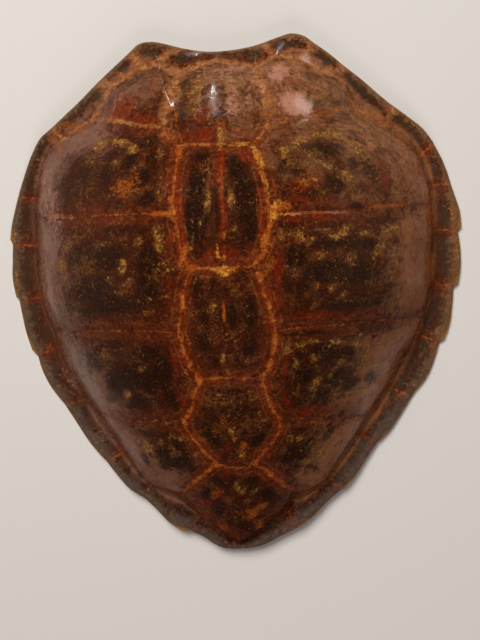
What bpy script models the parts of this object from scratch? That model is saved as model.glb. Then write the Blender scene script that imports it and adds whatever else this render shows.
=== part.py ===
"""A sea turtle's carapace: the domed upper shell, in one piece.

The shell lies dome up on its side margins. X runs across it, +Y points to the head end and
+Z up. The origin is under the middle of its box, on the surface that it lies on.

The seams between the horny scutes are drawn on the plan as smooth lines, the outline is
split along them, and each scute gets a groove and a few rings. Then the whole plan is lifted
to the dome, and the bony underside is drawn inwards from the rim, row by row.
"""

import math

import bmesh
import bpy
import numpy as np
from mathutils import Vector

MM = 0.001

# Heights of the form, with the lowest stretch of the rim at zero
APEX_HEIGHT = 184 * MM
RIM_EDGE_HEIGHT = 5.5 * MM
LIP_CREST = 3.5 * MM
TROUGH_HEIGHT = 6.5 * MM
COSTAL_FOOT_HEIGHT = 25 * MM
KEEL_HEIGHT, KEEL_HALF_WIDTH, KEEL_FADE = 3.5 * MM, 15 * MM, 80 * MM
TAIL_LIFT = 14 * MM
HEAD_LIFT = 24 * MM

# Where the rim starts to rise towards each end, and over what length
TAIL_LIFT_START, TAIL_LIFT_LENGTH = -120 * MM, 240 * MM
HEAD_LIFT_START, HEAD_LIFT_LENGTH = 150 * MM, 150 * MM

# The dome falls from the pole to the costals' foot as one minus a power of the distance
POLE = Vector((-3 * MM, 45 * MM))
SIDE_POWER, HEAD_POWER, TAIL_POWER = 2.9, 2.3, 1.8

# The trough and the lip's crest lie this far across the marginal strip, from the costals' foot to the rim
TROUGH_PLACE, CREST_PLACE = 0.34, 0.74
FOOT_BEND, SLOPE_BEND = 1.7, 1.2

# Towards the head the trough fades into a plain slope
FADE_START, FADE_LENGTH = 185 * MM, 110 * MM

# The dome's level lines follow only this many waves round it, apart from close to the foot
BODY_WAVES = 5
FOOT_GRIP = 7

# Scutes
SEAM_STEP, CURVE_STEP = 15 * MM, 4 * MM
GROOVE_HALF_WIDTH = 2.8 * MM
GROOVE_DEPTH = 1.8 * MM
SCUTE_CROWN = 2 * MM
LARGE_SCUTE_RINGS = (0.72, 0.36)
MARGINAL_RINGS = (0.68, 0.34)
SCUTE_COUNT = 41

# Bone
WALL = 7 * MM
MARGINAL_BONE, BONE_BEND = 14 * MM, 1.5
CONTACT_INSET, CONTACT_WIDTH = 1.6 * MM, 4.5 * MM
SPINE_DEPTH, SPINE_HALF_WIDTH = 11 * MM, 10 * MM
SPINE_HEAD_Y, SPINE_HEAD_FADE = 255 * MM, 30 * MM
SPINE_TAIL_Y, SPINE_TAIL_FADE = -262 * MM, 60 * MM
RIB_DEPTH, RIB_HALF_WIDTH, RIB_LENGTH = 4 * MM, 13 * MM, 250 * MM
SLOPE_REACH = 2 * MM
MARGINAL_ROWS = (0.62, 0.1)
OUTER_DOME_ROWS = (0.95, 0.89, 0.83, 0.77, 0.71, 0.65, 0.59, 0.53, 0.47, 0.4)
INNER_DOME_ROWS = (0.32, 0.24, 0.16, 0.08)

HORN_COLOUR = (0.13, 0.04, 0.018, 1)
HORN_ROUGHNESS = 0.3
SHARP_ANGLE = math.radians(50)

# The outer edge of each marginal scute in millimetres, from its front corner to its rear tip
RIGHT_RIM = (
    ((54, 343), (77, 350), (92, 353), (108, 349), (120, 340)),
    ((120, 340), (140, 325), (158, 309)),
    ((158, 309), (182, 289), (204, 269), (221, 255)),
    ((221, 255), (244, 238), (262, 223), (276, 205)),
    ((276, 204), (287, 184), (294, 167), (299, 151)),
    ((299, 150), (305, 132), (311, 112), (313, 92)),
    ((308, 87), (311, 62), (311, 35), (308, 15)),
    ((301, 9), (299, -16), (295, -42), (288, -62)),
    ((281, -66), (271, -97), (261, -117), (247, -133)),
    ((242, -141), (227, -164), (211, -187), (198, -200)),
    ((192, -205), (175, -229), (160, -251), (146, -268)),
    ((140, -270), (120, -286), (98, -308), (80, -323)),
    ((73, -325), (50, -336), (28, -347), (8, -352), (-8, -353)),
)
LEFT_RIM = (
    ((-55, 343), (-78, 350), (-94, 353), (-110, 351), (-123, 341)),
    ((-123, 341), (-148, 321), (-169, 304)),
    ((-169, 304), (-193, 283), (-215, 266), (-236, 250)),
    ((-236, 250), (-254, 237), (-266, 221), (-276, 204), (-288, 179), (-295, 162)),
    ((-296, 160), (-303, 139), (-309, 118), (-312, 101)),
    ((-309, 94), (-311, 72), (-313, 45), (-310, 20)),
    ((-306, 16), (-303, -7), (-299, -33), (-293, -56)),
    ((-285, -66), (-280, -87), (-270, -110), (-256, -131)),
    ((-252, -136), (-239, -158), (-220, -190), (-203, -213)),
    ((-195, -221), (-180, -242), (-164, -261), (-149, -272)),
    ((-143, -275), (-126, -292), (-107, -313), (-90, -325)),
    ((-78, -325), (-60, -334), (-41, -347), (-28, -352), (-8, -353)),
)
NUCHAL_RIM = ((-55, 343), (-29, 337), (-8, 335), (14, 336), (37, 339), (54, 343))

# Seams in millimetres: each is a chain of smooth lines that meet at corners
NUCHAL_SEAM = (
    ((-55, 343), (-79, 329), (-80, 321)),
    ((-80, 321), (-72, 313), (-58, 308)),
    ((-58, 308), (-36, 313), (-8, 319), (20, 314), (41, 307)),
    ((41, 307), (54, 313), (68, 321)),
    ((68, 321), (62, 331), (54, 343)),
)
LEFT_SULCUS = (
    ((-80, 321), (-104, 317), (-125, 306), (-148, 295)),
    ((-148, 295), (-161, 270), (-176, 254), (-200, 242), (-219, 232)),
    ((-219, 232), (-237, 219), (-253, 192), (-264, 155), (-267, 133), (-269, 91), (-270, 55)),
    ((-270, 55), (-267, 19), (-261, -6), (-253, -27), (-248, -49), (-237, -80), (-210, -130)),
    ((-210, -130), (-200, -146), (-183, -172), (-162, -205), (-143, -235), (-128, -250)),
    ((-128, -250), (-105, -260), (-84, -267)),
    ((-84, -267), (-61, -291), (-32, -316), (-6, -334)),
)
RIGHT_SULCUS = (
    ((68, 321), (84, 321), (102, 315), (124, 304), (146, 296)),
    ((146, 296), (158, 274), (169, 252), (190, 239), (212, 225)),
    ((212, 225), (238, 203), (254, 185)),
    ((254, 185), (266, 149), (268, 123), (270, 89), (268, 49), (266, 18)),
    ((266, 18), (258, -21), (245, -52), (225, -86), (203, -124)),
    ((203, -124), (181, -158), (162, -186), (140, -217), (117, -248)),
    ((117, -248), (98, -261), (71, -270)),
    ((71, -270), (58, -285), (26, -313), (-6, -334)),
)
TAIL_SEAM = (((-6, -334), (-8, -353)),)
LEFT_VERTEBRAL_LINE = (
    ((-58, 308), (-61, 282), (-66, 252), (-70, 231)),
    ((-70, 231), (-64, 221), (-47, 207)),
    ((-47, 207), (-51, 185), (-55, 155), (-57, 127)),
    ((-57, 127), (-52, 108), (-47, 78), (-38, 61)),
    ((-38, 61), (-47, 36), (-52, 11), (-58, -17)),
    ((-58, -17), (-53, -38), (-46, -62), (-36, -77)),
    ((-36, -77), (-45, -98), (-52, -117), (-64, -135)),
    ((-64, -135), (-58, -153), (-44, -177), (-27, -199)),
    ((-27, -199), (-44, -215), (-60, -232), (-76, -250), (-84, -267)),
)
RIGHT_VERTEBRAL_LINE = (
    ((41, 307), (49, 286), (58, 260), (60, 230)),
    ((60, 230), (51, 216), (39, 202)),
    ((39, 202), (47, 181), (54, 153), (58, 126)),
    ((58, 126), (55, 105), (47, 77), (37, 60)),
    ((37, 60), (45, 37), (54, 8), (59, -20)),
    ((59, -20), (55, -43), (49, -63), (39, -79)),
    ((39, -79), (44, -102), (51, -124), (60, -139)),
    ((60, -139), (55, -159), (41, -180), (22, -201)),
    ((22, -201), (39, -219), (54, -240), (65, -256), (71, -270)),
)
VERTEBRAL_SEAMS = (
    (((-47, 207), (-5, 206), (39, 202)),),
    (((-38, 61), (0, 59), (37, 60)),),
    (((-36, -77), (0, -75), (39, -79)),),
    (((-27, -199), (-8, -205), (11, -206), (22, -201)),),
)
COSTAL_SEAMS = (
    (((-70, 231), (-99, 235), (-135, 246), (-176, 254)),),
    (((-57, 127), (-109, 127), (-180, 127), (-225, 129), (-267, 133)),),
    (((-58, -17), (-95, -14), (-150, -15), (-205, -20), (-253, -27)),),
    (((-64, -135), (-95, -138), (-142, -145), (-200, -146)),),
    (((60, 230), (98, 231), (135, 243), (169, 252)),),
    (((58, 126), (81, 120), (147, 119), (198, 122), (268, 123)),),
    (((59, -20), (88, -17), (150, -17), (205, -20), (258, -21)),),
    (((60, -139), (84, -140), (124, -149), (181, -158)),),
)
# Inner ends of the seams between marginals, which run out to the front corners on the rim
RIGHT_MARGINAL_SEAM_ENDS = (
    (102, 315), (146, 296), (212, 225), (254, 185), (266, 149), (270, 89),
    (266, 18), (245, -52), (203, -124), (162, -186), (117, -248), (58, -285),
)
LEFT_MARGINAL_SEAM_ENDS = (
    (-104, 317), (-148, 295), (-219, 232), (-264, 155), (-269, 91), (-267, 19),
    (-248, -49), (-210, -130), (-162, -205), (-128, -250), (-61, -291),
)
# Ribs on the underside: y at the spine and y at the foot of the dome, in millimetres
RIBS = (
    (225, 262), (170, 196), (112, 125), (52, 50), (-10, -24), (-70, -95), (-128, -165), (-184, -228),
)


def smooth_step(share):
    share = min(max(share, 0.0), 1.0)
    return share * share * (3 - 2 * share)


def ridge(distance, half_width):
    return math.exp(-((distance / half_width) ** 2))


def smooth_line(points, step):
    """Points about one step apart on a Catmull-Rom curve that passes through the given ones."""
    knots = [Vector(point) * MM for point in points]
    knots = [2 * knots[0] - knots[1]] + knots + [2 * knots[-1] - knots[-2]]
    line = [knots[1]]
    for before, start, end, after in zip(knots, knots[1:], knots[2:], knots[3:]):
        pieces = max(1, round((end - start).length / step))
        for index in range(1, pieces + 1):
            t = index / pieces
            square = 2 * before - 5 * start + 4 * end - after
            cube = 3 * start - before - 3 * end + after
            line.append(0.5 * (2 * start + (end - before) * t + square * t**2 + cube * t**3))
    return line


def chain(lines, step):
    """The smooth lines joined end to end."""
    joined = smooth_line(lines[0], step)
    for line in lines[1:]:
        points = smooth_line(line, step)
        joined += points[1:] if (points[0] - joined[-1]).length < MM else points
    return joined


class RadialCurve:
    """A closed plan curve round the pole, as a distance from it for each direction."""

    def __init__(self, points):
        arms = [point - POLE for point in points]
        order = sorted(arms, key=lambda arm: math.atan2(arm.y, arm.x))
        self.angles = [math.atan2(arm.y, arm.x) for arm in order]
        self.lengths = [arm.length for arm in order]

    def __call__(self, angle):
        return float(np.interp(angle, self.angles, self.lengths, period=2 * math.pi))


def foot_curve():
    front = (NUCHAL_SEAM[1], NUCHAL_SEAM[2], NUCHAL_SEAM[3])
    sides = chain(RIGHT_SULCUS, CURVE_STEP) + chain(LEFT_SULCUS, CURVE_STEP)
    return RadialCurve(chain(front, CURVE_STEP) + sides)


def rim_curve():
    """The rim without the tips of its teeth."""
    right = [point for scute in RIGHT_RIM for point in scute[:-1]]
    left = [point for scute in LEFT_RIM for point in scute[:-1]]
    loop = right + [RIGHT_RIM[-1][-1]] + left[::-1] + list(NUCHAL_RIM[1:])
    return RadialCurve(smooth_line(loop, CURVE_STEP))


class WavyCurve(RadialCurve):
    """A radial curve with only its first few waves kept."""

    def __init__(self, curve, waves):
        self.angles = np.radians(np.arange(-180, 180))
        spectrum = np.fft.rfft([curve(angle) for angle in self.angles])
        spectrum[waves + 1 :] = 0
        self.lengths = np.fft.irfft(spectrum, len(self.angles))


FOOT = foot_curve()
RIM = rim_curve()
BODY = WavyCurve(FOOT, BODY_WAVES)


def rim_lift(y):
    tail = smooth_step((TAIL_LIFT_START - y) / TAIL_LIFT_LENGTH)
    head = smooth_step((y - HEAD_LIFT_START) / HEAD_LIFT_LENGTH)
    return TAIL_LIFT * tail + HEAD_LIFT * head


def trough_profile(across):
    """Height over the rim's lift, from the costals' foot (0) over trough and crest to the rim (1)."""
    if across < TROUGH_PLACE:
        share = 1 - across / TROUGH_PLACE
        return TROUGH_HEIGHT + (COSTAL_FOOT_HEIGHT - TROUGH_HEIGHT) * share**FOOT_BEND
    if across < CREST_PLACE:
        share = (across - TROUGH_PLACE) / (CREST_PLACE - TROUGH_PLACE)
        return TROUGH_HEIGHT + LIP_CREST * smooth_step(share)
    share = min((across - CREST_PLACE) / (1 - CREST_PLACE), 1.0)
    crest = TROUGH_HEIGHT + LIP_CREST
    return crest - (crest - RIM_EDGE_HEIGHT) * share * share


def marginal_height(across, y):
    slope = RIM_EDGE_HEIGHT + (COSTAL_FOOT_HEIGHT - RIM_EDGE_HEIGHT) * max(1 - across, 0.0) ** SLOPE_BEND
    fade = smooth_step((y - FADE_START) / FADE_LENGTH)
    return trough_profile(across) * (1 - fade) + slope * fade


def surface_height(x, y):
    """Height of the smooth outer surface over a point of the plan."""
    arm = Vector((x, y)) - POLE
    angle = math.atan2(arm.y, arm.x)
    foot = FOOT(angle)
    foot_y = POLE.y + foot * math.sin(angle)
    if arm.length >= foot:
        across = (arm.length - foot) / (RIM(angle) - foot)
        return rim_lift(y) + marginal_height(across, y)
    end_power = HEAD_POWER if arm.y > 0 else TAIL_POWER
    power = SIDE_POWER * math.cos(angle) ** 2 + end_power * math.sin(angle) ** 2
    body = BODY(angle)
    reach = body + (foot - body) * (arm.length / foot) ** FOOT_GRIP
    fall = (arm.length / reach) ** power
    foot_height = rim_lift(foot_y) + COSTAL_FOOT_HEIGHT
    keel = KEEL_HEIGHT * ridge(arm.x, KEEL_HALF_WIDTH) * smooth_step(-arm.y / KEEL_FADE) * (1 - fall)
    return foot_height + (APEX_HEIGHT - foot_height) * (1 - fall) + keel


def outline_points():
    right = chain(RIGHT_RIM, SEAM_STEP)
    left = chain(LEFT_RIM, SEAM_STEP)
    front = smooth_line(NUCHAL_RIM, SEAM_STEP)
    return front[:-1] + right + left[::-1][1:-1]


def nearest_vertex(bm, point):
    return min(bm.verts, key=lambda vert: (vert.co.xy - point).length_squared)


def score(bm, lines):
    """Splits one face of the plan along a seam whose ends lie on that face's outline."""
    seam = chain(lines, SEAM_STEP)
    start, end = nearest_vertex(bm, seam[0]), nearest_vertex(bm, seam[-1])
    face = next(face for face in start.link_faces if end in face.verts)
    bmesh.utils.face_split(face, start, end, coords=[point.to_3d() for point in seam[1:-1]])


def scored_plan():
    """The flat outline, split along every seam into one face for each scute."""
    bm = bmesh.new()
    verts = [bm.verts.new(point.to_3d()) for point in outline_points()]
    bmesh.ops.contextual_create(bm, geom=verts)
    score(bm, NUCHAL_SEAM)
    score(bm, LEFT_SULCUS + TAIL_SEAM)
    score(bm, RIGHT_SULCUS)
    for rims, ends in ((RIGHT_RIM, RIGHT_MARGINAL_SEAM_ENDS), (LEFT_RIM, LEFT_MARGINAL_SEAM_ENDS)):
        for scute, inner_end in zip(rims[1:], ends):
            score(bm, ((inner_end, scute[0]),))
    score(bm, LEFT_VERTEBRAL_LINE)
    score(bm, RIGHT_VERTEBRAL_LINE)
    for seam in VERTEBRAL_SEAMS + COSTAL_SEAMS:
        score(bm, seam)
    bmesh.ops.recalc_face_normals(bm, faces=bm.faces[:])
    if bm.faces[0].normal.z < 0:
        bmesh.ops.reverse_faces(bm, faces=bm.faces[:])
    assert len(bm.faces) == SCUTE_COUNT, len(bm.faces)
    return bm


def angle_of(point):
    return math.atan2(point.y - POLE.y, point.x - POLE.x)


def outside_foot(point):
    return (point.xy - POLE).length > FOOT(angle_of(point))


def add_scute_rings(bm, crown):
    """Gives each scute a groove and rings, and notes how far each vertex stands off the dome."""
    for vert in bm.verts:
        vert[crown] = 0.0 if vert.is_boundary else -GROOVE_DEPTH
    scutes = bm.faces[:]
    bmesh.ops.inset_individual(bm, faces=scutes, thickness=GROOVE_HALF_WIDTH, use_even_offset=True)
    for scute in scutes:
        centre = scute.calc_center_median_weighted()
        marginal = outside_foot(centre)
        rings = MARGINAL_RINGS if marginal else LARGE_SCUTE_RINGS
        for vert in scute.verts:
            vert[crown] = 0.0
        face, before = scute, 1.0
        for ring in rings:
            face = bmesh.ops.extrude_discrete_faces(bm, faces=[face])["faces"][0]
            for vert in face.verts:
                vert.co = centre + (vert.co - centre) * (ring / before)
                vert[crown] = 0.0 if marginal else SCUTE_CROWN * (1 - ring)
            before = ring
        for vert in bmesh.ops.poke(bm, faces=[face])["verts"]:
            vert[crown] = 0.0 if marginal else SCUTE_CROWN


def lift_to_dome(bm, crown):
    for vert in bm.verts:
        vert.co.z = surface_height(vert.co.x, vert.co.y) + vert[crown]


def underside_relief(x, y):
    """How far the spine and the ribs stand out under the dome."""
    head_end = smooth_step((SPINE_HEAD_Y - y) / SPINE_HEAD_FADE)
    tail_end = smooth_step((y - SPINE_TAIL_Y) / SPINE_TAIL_FADE)
    spine = SPINE_DEPTH * ridge(x - POLE.x, SPINE_HALF_WIDTH) * head_end * tail_end
    rib = 0.0
    for spine_y, foot_y in RIBS:
        outwards = abs(x - POLE.x) / RIB_LENGTH
        rib_y = (spine_y + (foot_y - spine_y) * outwards) * MM
        rib = max(rib, RIB_DEPTH * ridge(y - rib_y, RIB_HALF_WIDTH))
    return max(spine, rib)


def dome_underside(angle, ratio):
    """A point of the inner wall: the outer surface moved in along its normal."""
    arm = Vector((math.cos(angle), math.sin(angle))) * FOOT(angle) * ratio
    x, y = POLE + arm
    slope_x = (surface_height(x + SLOPE_REACH, y) - surface_height(x - SLOPE_REACH, y)) / (2 * SLOPE_REACH)
    slope_y = (surface_height(x, y + SLOPE_REACH) - surface_height(x, y - SLOPE_REACH)) / (2 * SLOPE_REACH)
    normal = Vector((-slope_x, -slope_y, 1)).normalized()
    outer = Vector((x, y, surface_height(x, y)))
    return outer - normal * (WALL + underside_relief(x, y))


def marginal_underside(angle, across):
    """A point under the marginal bones, between the contact strip (1) and the inner wall (0)."""
    foot, rim = FOOT(angle), RIM(angle) - CONTACT_INSET - CONTACT_WIDTH
    x, y = POLE + Vector((math.cos(angle), math.sin(angle))) * (foot + (rim - foot) * across)
    return Vector((x, y, rim_lift(y) + (COSTAL_FOOT_HEIGHT - MARGINAL_BONE) * (1 - across) ** BONE_BEND))


def next_row(bm, edges, place):
    """Draws a new row out of the open edge loop and puts each of its vertices in its place."""
    made = bmesh.ops.extrude_edge_only(bm, edges=edges)["geom"]
    for item in made:
        if isinstance(item, bmesh.types.BMVert):
            item.co = place(item.co)
    return [item for item in made if isinstance(item, bmesh.types.BMEdge) and item.is_boundary]


def halve(bm, edges):
    """Collapses every second edge of an open loop, so that the rows after it have half the points."""
    ordered = sorted(edges, key=lambda edge: angle_of((edge.verts[0].co + edge.verts[1].co) / 2))
    bmesh.ops.collapse(bm, edges=ordered[: len(ordered) // 2 * 2 : 2])
    return [edge for edge in bm.edges if edge.is_boundary]


def add_underside(bm):
    def towards_pole(point, distance):
        arm = point.xy - POLE
        flat = POLE + arm * (1 - distance / arm.length)
        return Vector((flat.x, flat.y, rim_lift(point.y)))

    edges = [edge for edge in bm.edges if edge.is_boundary]
    edges = next_row(bm, edges, lambda point: towards_pole(point, CONTACT_INSET))
    edges = next_row(bm, edges, lambda point: towards_pole(point, CONTACT_WIDTH))
    for across in MARGINAL_ROWS:
        edges = next_row(bm, edges, lambda point: marginal_underside(angle_of(point), across))
    for ratios in (OUTER_DOME_ROWS, INNER_DOME_ROWS):
        edges = halve(bm, edges)
        for ratio in ratios:
            edges = next_row(bm, edges, lambda point: dome_underside(angle_of(point), ratio))
    cap = bmesh.ops.contextual_create(bm, geom=edges)["faces"]
    for vert in bmesh.ops.poke(bm, faces=cap)["verts"]:
        vert.co = dome_underside(0.0, 0.0)
    bmesh.ops.recalc_face_normals(bm, faces=bm.faces[:])


def centre_on_floor(bm):
    """Moves the shell so that the middle of its box is over the origin and it lies on zero."""
    places = [vert.co for vert in bm.verts]
    low = Vector([min(place[axis] for place in places) for axis in range(3)])
    high = Vector([max(place[axis] for place in places) for axis in range(3)])
    middle = (low + high) / 2
    bmesh.ops.translate(bm, verts=bm.verts[:], vec=(-middle.x, -middle.y, -low.z))


def make_carapace(collection, material):
    bm = scored_plan()
    crown = bm.verts.layers.float.new("crown")
    add_scute_rings(bm, crown)
    lift_to_dome(bm, crown)
    add_underside(bm)
    centre_on_floor(bm)
    bmesh.ops.triangulate(bm, faces=bm.faces[:])
    mesh = bpy.data.meshes.new("carapace")
    bm.to_mesh(mesh)
    bm.free()
    mesh.shade_smooth()
    mesh.set_sharp_from_angle(angle=SHARP_ANGLE)
    mesh.materials.append(material)
    carapace = bpy.data.objects.new("carapace", mesh)
    collection.objects.link(carapace)
    return carapace


def horn_material():
    """Varnished red-brown horn."""
    material = bpy.data.materials.new("varnished_horn")
    material.use_nodes = True
    shader = material.node_tree.nodes["Principled BSDF"]
    shader.inputs["Base Color"].default_value = HORN_COLOUR
    shader.inputs["Roughness"].default_value = HORN_ROUGHNESS
    shader.inputs["Metallic"].default_value = 0.0
    return material


def main():
    for item in list(bpy.data.objects):
        bpy.data.objects.remove(item, do_unlink=True)
    collection = bpy.data.collections.new("turtle_shell")
    bpy.context.scene.collection.children.link(collection)
    make_carapace(collection, horn_material())


main()
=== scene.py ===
# %% [markdown]
# # A sea turtle's carapace
# This lesson dresses the upper shell of a sea turtle: varnished tortoiseshell scutes over bone. The CAD
# model gives the frame and the box. Here the same form is built again from the same named values, much
# finer, with narrower seams, a slightly uneven surface, mottled horn and a bare bony underside.

import math

import bmesh
import bpy
import numpy as np
from mathutils import Matrix, Vector, noise
from mathutils.kdtree import KDTree


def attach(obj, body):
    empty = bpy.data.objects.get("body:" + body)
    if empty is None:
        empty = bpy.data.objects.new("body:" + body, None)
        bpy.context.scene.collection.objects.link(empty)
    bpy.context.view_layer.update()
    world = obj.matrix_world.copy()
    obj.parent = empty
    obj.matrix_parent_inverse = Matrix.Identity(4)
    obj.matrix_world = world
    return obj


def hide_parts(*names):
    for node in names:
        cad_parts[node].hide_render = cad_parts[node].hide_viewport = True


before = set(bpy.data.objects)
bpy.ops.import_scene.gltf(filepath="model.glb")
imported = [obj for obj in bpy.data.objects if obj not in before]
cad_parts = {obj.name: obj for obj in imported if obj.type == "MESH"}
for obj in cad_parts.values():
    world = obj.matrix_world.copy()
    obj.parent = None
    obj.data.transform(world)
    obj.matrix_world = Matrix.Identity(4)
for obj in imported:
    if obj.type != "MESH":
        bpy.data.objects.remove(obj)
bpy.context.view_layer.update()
MM = 0.001

# %% [markdown]
# ## Camera
# The shell hangs upright in the photograph and lies dome up here, so the camera looks down on it. It is
# close, about 1.15 m away, and a little towards the head end and the right side, as the slopes that show
# on each side of the shell tell. A camera looks along its own -Z, so the three small turns and a step
# back along +Z place it.

# %% Camera
AIM = Vector((5.7, -25.4, 0)) * MM
SHOT_DISTANCE = 1150 * MM
CAMERA_YAW, CAMERA_PITCH, CAMERA_ROLL = math.radians(3.73), math.radians(-7), math.radians(-2.61)
SENSOR_WIDTH_MM, LENS_MM = 36, 46

camera_turn = (
    Matrix.Rotation(CAMERA_YAW, 4, "Y")
    @ Matrix.Rotation(CAMERA_PITCH, 4, "X")
    @ Matrix.Rotation(CAMERA_ROLL, 4, "Z")
)
camera = bpy.data.objects.new("camera", bpy.data.cameras.new("camera"))
camera.data.sensor_width = SENSOR_WIDTH_MM
camera.data.lens = LENS_MM
camera.matrix_world = Matrix.Translation(AIM) @ camera_turn @ Matrix.Translation((0, 0, SHOT_DISTANCE))
bpy.context.scene.collection.objects.link(camera)
bpy.context.scene.camera = camera
print("camera at", [round(place, 3) for place in camera.matrix_world.translation])

# %% [markdown]
# ## The driving dimensions
# These are the CAD model's own values, so the fine shell lies in the same place: heights of the dome and
# the rim, the outer edge of each marginal scute, and the seams between the scutes. Points are in
# millimetres on the plan, with X across the shell and Y towards the head.

# %% Heights of the dome, the trough and the flared lip
APEX_HEIGHT = 184 * MM
RIM_EDGE_HEIGHT = 5.5 * MM
LIP_CREST = 3.5 * MM
TROUGH_HEIGHT = 6.5 * MM
COSTAL_FOOT_HEIGHT = 25 * MM
KEEL_HEIGHT, KEEL_HALF_WIDTH, KEEL_FADE = 3.5 * MM, 15 * MM, 80 * MM
TAIL_LIFT, TAIL_LIFT_START, TAIL_LIFT_LENGTH = 14 * MM, -120 * MM, 240 * MM
HEAD_LIFT, HEAD_LIFT_START, HEAD_LIFT_LENGTH = 24 * MM, 150 * MM, 150 * MM
POLE = Vector((-3 * MM, 45 * MM))
SIDE_POWER, HEAD_POWER, TAIL_POWER = 2.9, 2.3, 1.8
TROUGH_PLACE, CREST_PLACE = 0.34, 0.74
FOOT_BEND, SLOPE_BEND = 1.7, 1.2
FADE_START, FADE_LENGTH = 185 * MM, 110 * MM
BODY_WAVES, FOOT_GRIP = 5, 7
levels = (APEX_HEIGHT, COSTAL_FOOT_HEIGHT, TROUGH_HEIGHT, RIM_EDGE_HEIGHT)
print("apex, costals' foot, trough and rim in mm:", [round(level / MM, 1) for level in levels])

# %% The outer edge of each marginal scute, from its front corner to its rear tip
RIGHT_RIM = (
    ((54, 343), (77, 350), (92, 353), (108, 349), (120, 340)),
    ((120, 340), (140, 325), (158, 309)),
    ((158, 309), (182, 289), (204, 269), (221, 255)),
    ((221, 255), (244, 238), (262, 223), (276, 205)),
    ((276, 204), (287, 184), (294, 167), (299, 151)),
    ((299, 150), (305, 132), (311, 112), (313, 92)),
    ((308, 87), (311, 62), (311, 35), (308, 15)),
    ((301, 9), (299, -16), (295, -42), (288, -62)),
    ((281, -66), (271, -97), (261, -117), (247, -133)),
    ((242, -141), (227, -164), (211, -187), (198, -200)),
    ((192, -205), (175, -229), (160, -251), (146, -268)),
    ((140, -270), (120, -286), (98, -308), (80, -323)),
    ((73, -325), (50, -336), (28, -347), (8, -352), (-8, -353)),
)
LEFT_RIM = (
    ((-55, 343), (-78, 350), (-94, 353), (-110, 351), (-123, 341)),
    ((-123, 341), (-148, 321), (-169, 304)),
    ((-169, 304), (-193, 283), (-215, 266), (-236, 250)),
    ((-236, 250), (-254, 237), (-266, 221), (-276, 204), (-288, 179), (-295, 162)),
    ((-296, 160), (-303, 139), (-309, 118), (-312, 101)),
    ((-309, 94), (-311, 72), (-313, 45), (-310, 20)),
    ((-306, 16), (-303, -7), (-299, -33), (-293, -56)),
    ((-285, -66), (-280, -87), (-270, -110), (-256, -131)),
    ((-252, -136), (-239, -158), (-220, -190), (-203, -213)),
    ((-195, -221), (-180, -242), (-164, -261), (-149, -272)),
    ((-143, -275), (-126, -292), (-107, -313), (-90, -325)),
    ((-78, -325), (-60, -334), (-41, -347), (-28, -352), (-8, -353)),
)
NUCHAL_RIM = ((-55, 343), (-29, 337), (-8, 335), (14, 336), (37, 339), (54, 343))
print("marginal scutes:", len(RIGHT_RIM), "right,", len(LEFT_RIM), "left")

# %% Seams: each is a chain of smooth lines that meet at corners
NUCHAL_SEAM = (
    ((-55, 343), (-79, 329), (-80, 321)),
    ((-80, 321), (-72, 313), (-58, 308)),
    ((-58, 308), (-36, 313), (-8, 319), (20, 314), (41, 307)),
    ((41, 307), (54, 313), (68, 321)),
    ((68, 321), (62, 331), (54, 343)),
)
LEFT_SULCUS = (
    ((-80, 321), (-104, 317), (-125, 306), (-148, 295)),
    ((-148, 295), (-161, 270), (-176, 254), (-200, 242), (-219, 232)),
    ((-219, 232), (-237, 219), (-253, 192), (-264, 155), (-267, 133), (-269, 91), (-270, 55)),
    ((-270, 55), (-267, 19), (-261, -6), (-253, -27), (-248, -49), (-237, -80), (-210, -130)),
    ((-210, -130), (-200, -146), (-183, -172), (-162, -205), (-143, -235), (-128, -250)),
    ((-128, -250), (-105, -260), (-84, -267)),
    ((-84, -267), (-61, -291), (-32, -316), (-6, -334)),
)
RIGHT_SULCUS = (
    ((68, 321), (84, 321), (102, 315), (124, 304), (146, 296)),
    ((146, 296), (158, 274), (169, 252), (190, 239), (212, 225)),
    ((212, 225), (238, 203), (254, 185)),
    ((254, 185), (266, 149), (268, 123), (270, 89), (268, 49), (266, 18)),
    ((266, 18), (258, -21), (245, -52), (225, -86), (203, -124)),
    ((203, -124), (181, -158), (162, -186), (140, -217), (117, -248)),
    ((117, -248), (98, -261), (71, -270)),
    ((71, -270), (58, -285), (26, -313), (-6, -334)),
)
TAIL_SEAM = (((-6, -334), (-8, -353)),)
LEFT_VERTEBRAL_LINE = (
    ((-58, 308), (-61, 282), (-66, 252), (-70, 231)),
    ((-70, 231), (-64, 221), (-47, 207)),
    ((-47, 207), (-51, 185), (-55, 155), (-57, 127)),
    ((-57, 127), (-52, 108), (-47, 78), (-38, 61)),
    ((-38, 61), (-47, 36), (-52, 11), (-58, -17)),
    ((-58, -17), (-53, -38), (-46, -62), (-36, -77)),
    ((-36, -77), (-45, -98), (-52, -117), (-64, -135)),
    ((-64, -135), (-58, -153), (-44, -177), (-27, -199)),
    ((-27, -199), (-44, -215), (-60, -232), (-76, -250), (-84, -267)),
)
RIGHT_VERTEBRAL_LINE = (
    ((41, 307), (49, 286), (58, 260), (60, 230)),
    ((60, 230), (51, 216), (39, 202)),
    ((39, 202), (47, 181), (54, 153), (58, 126)),
    ((58, 126), (55, 105), (47, 77), (37, 60)),
    ((37, 60), (45, 37), (54, 8), (59, -20)),
    ((59, -20), (55, -43), (49, -63), (39, -79)),
    ((39, -79), (44, -102), (51, -124), (60, -139)),
    ((60, -139), (55, -159), (41, -180), (22, -201)),
    ((22, -201), (39, -219), (54, -240), (65, -256), (71, -270)),
)
VERTEBRAL_SEAMS = (
    (((-47, 207), (-5, 206), (39, 202)),),
    (((-38, 61), (0, 59), (37, 60)),),
    (((-36, -77), (0, -75), (39, -79)),),
    (((-27, -199), (-8, -205), (11, -206), (22, -201)),),
)
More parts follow.
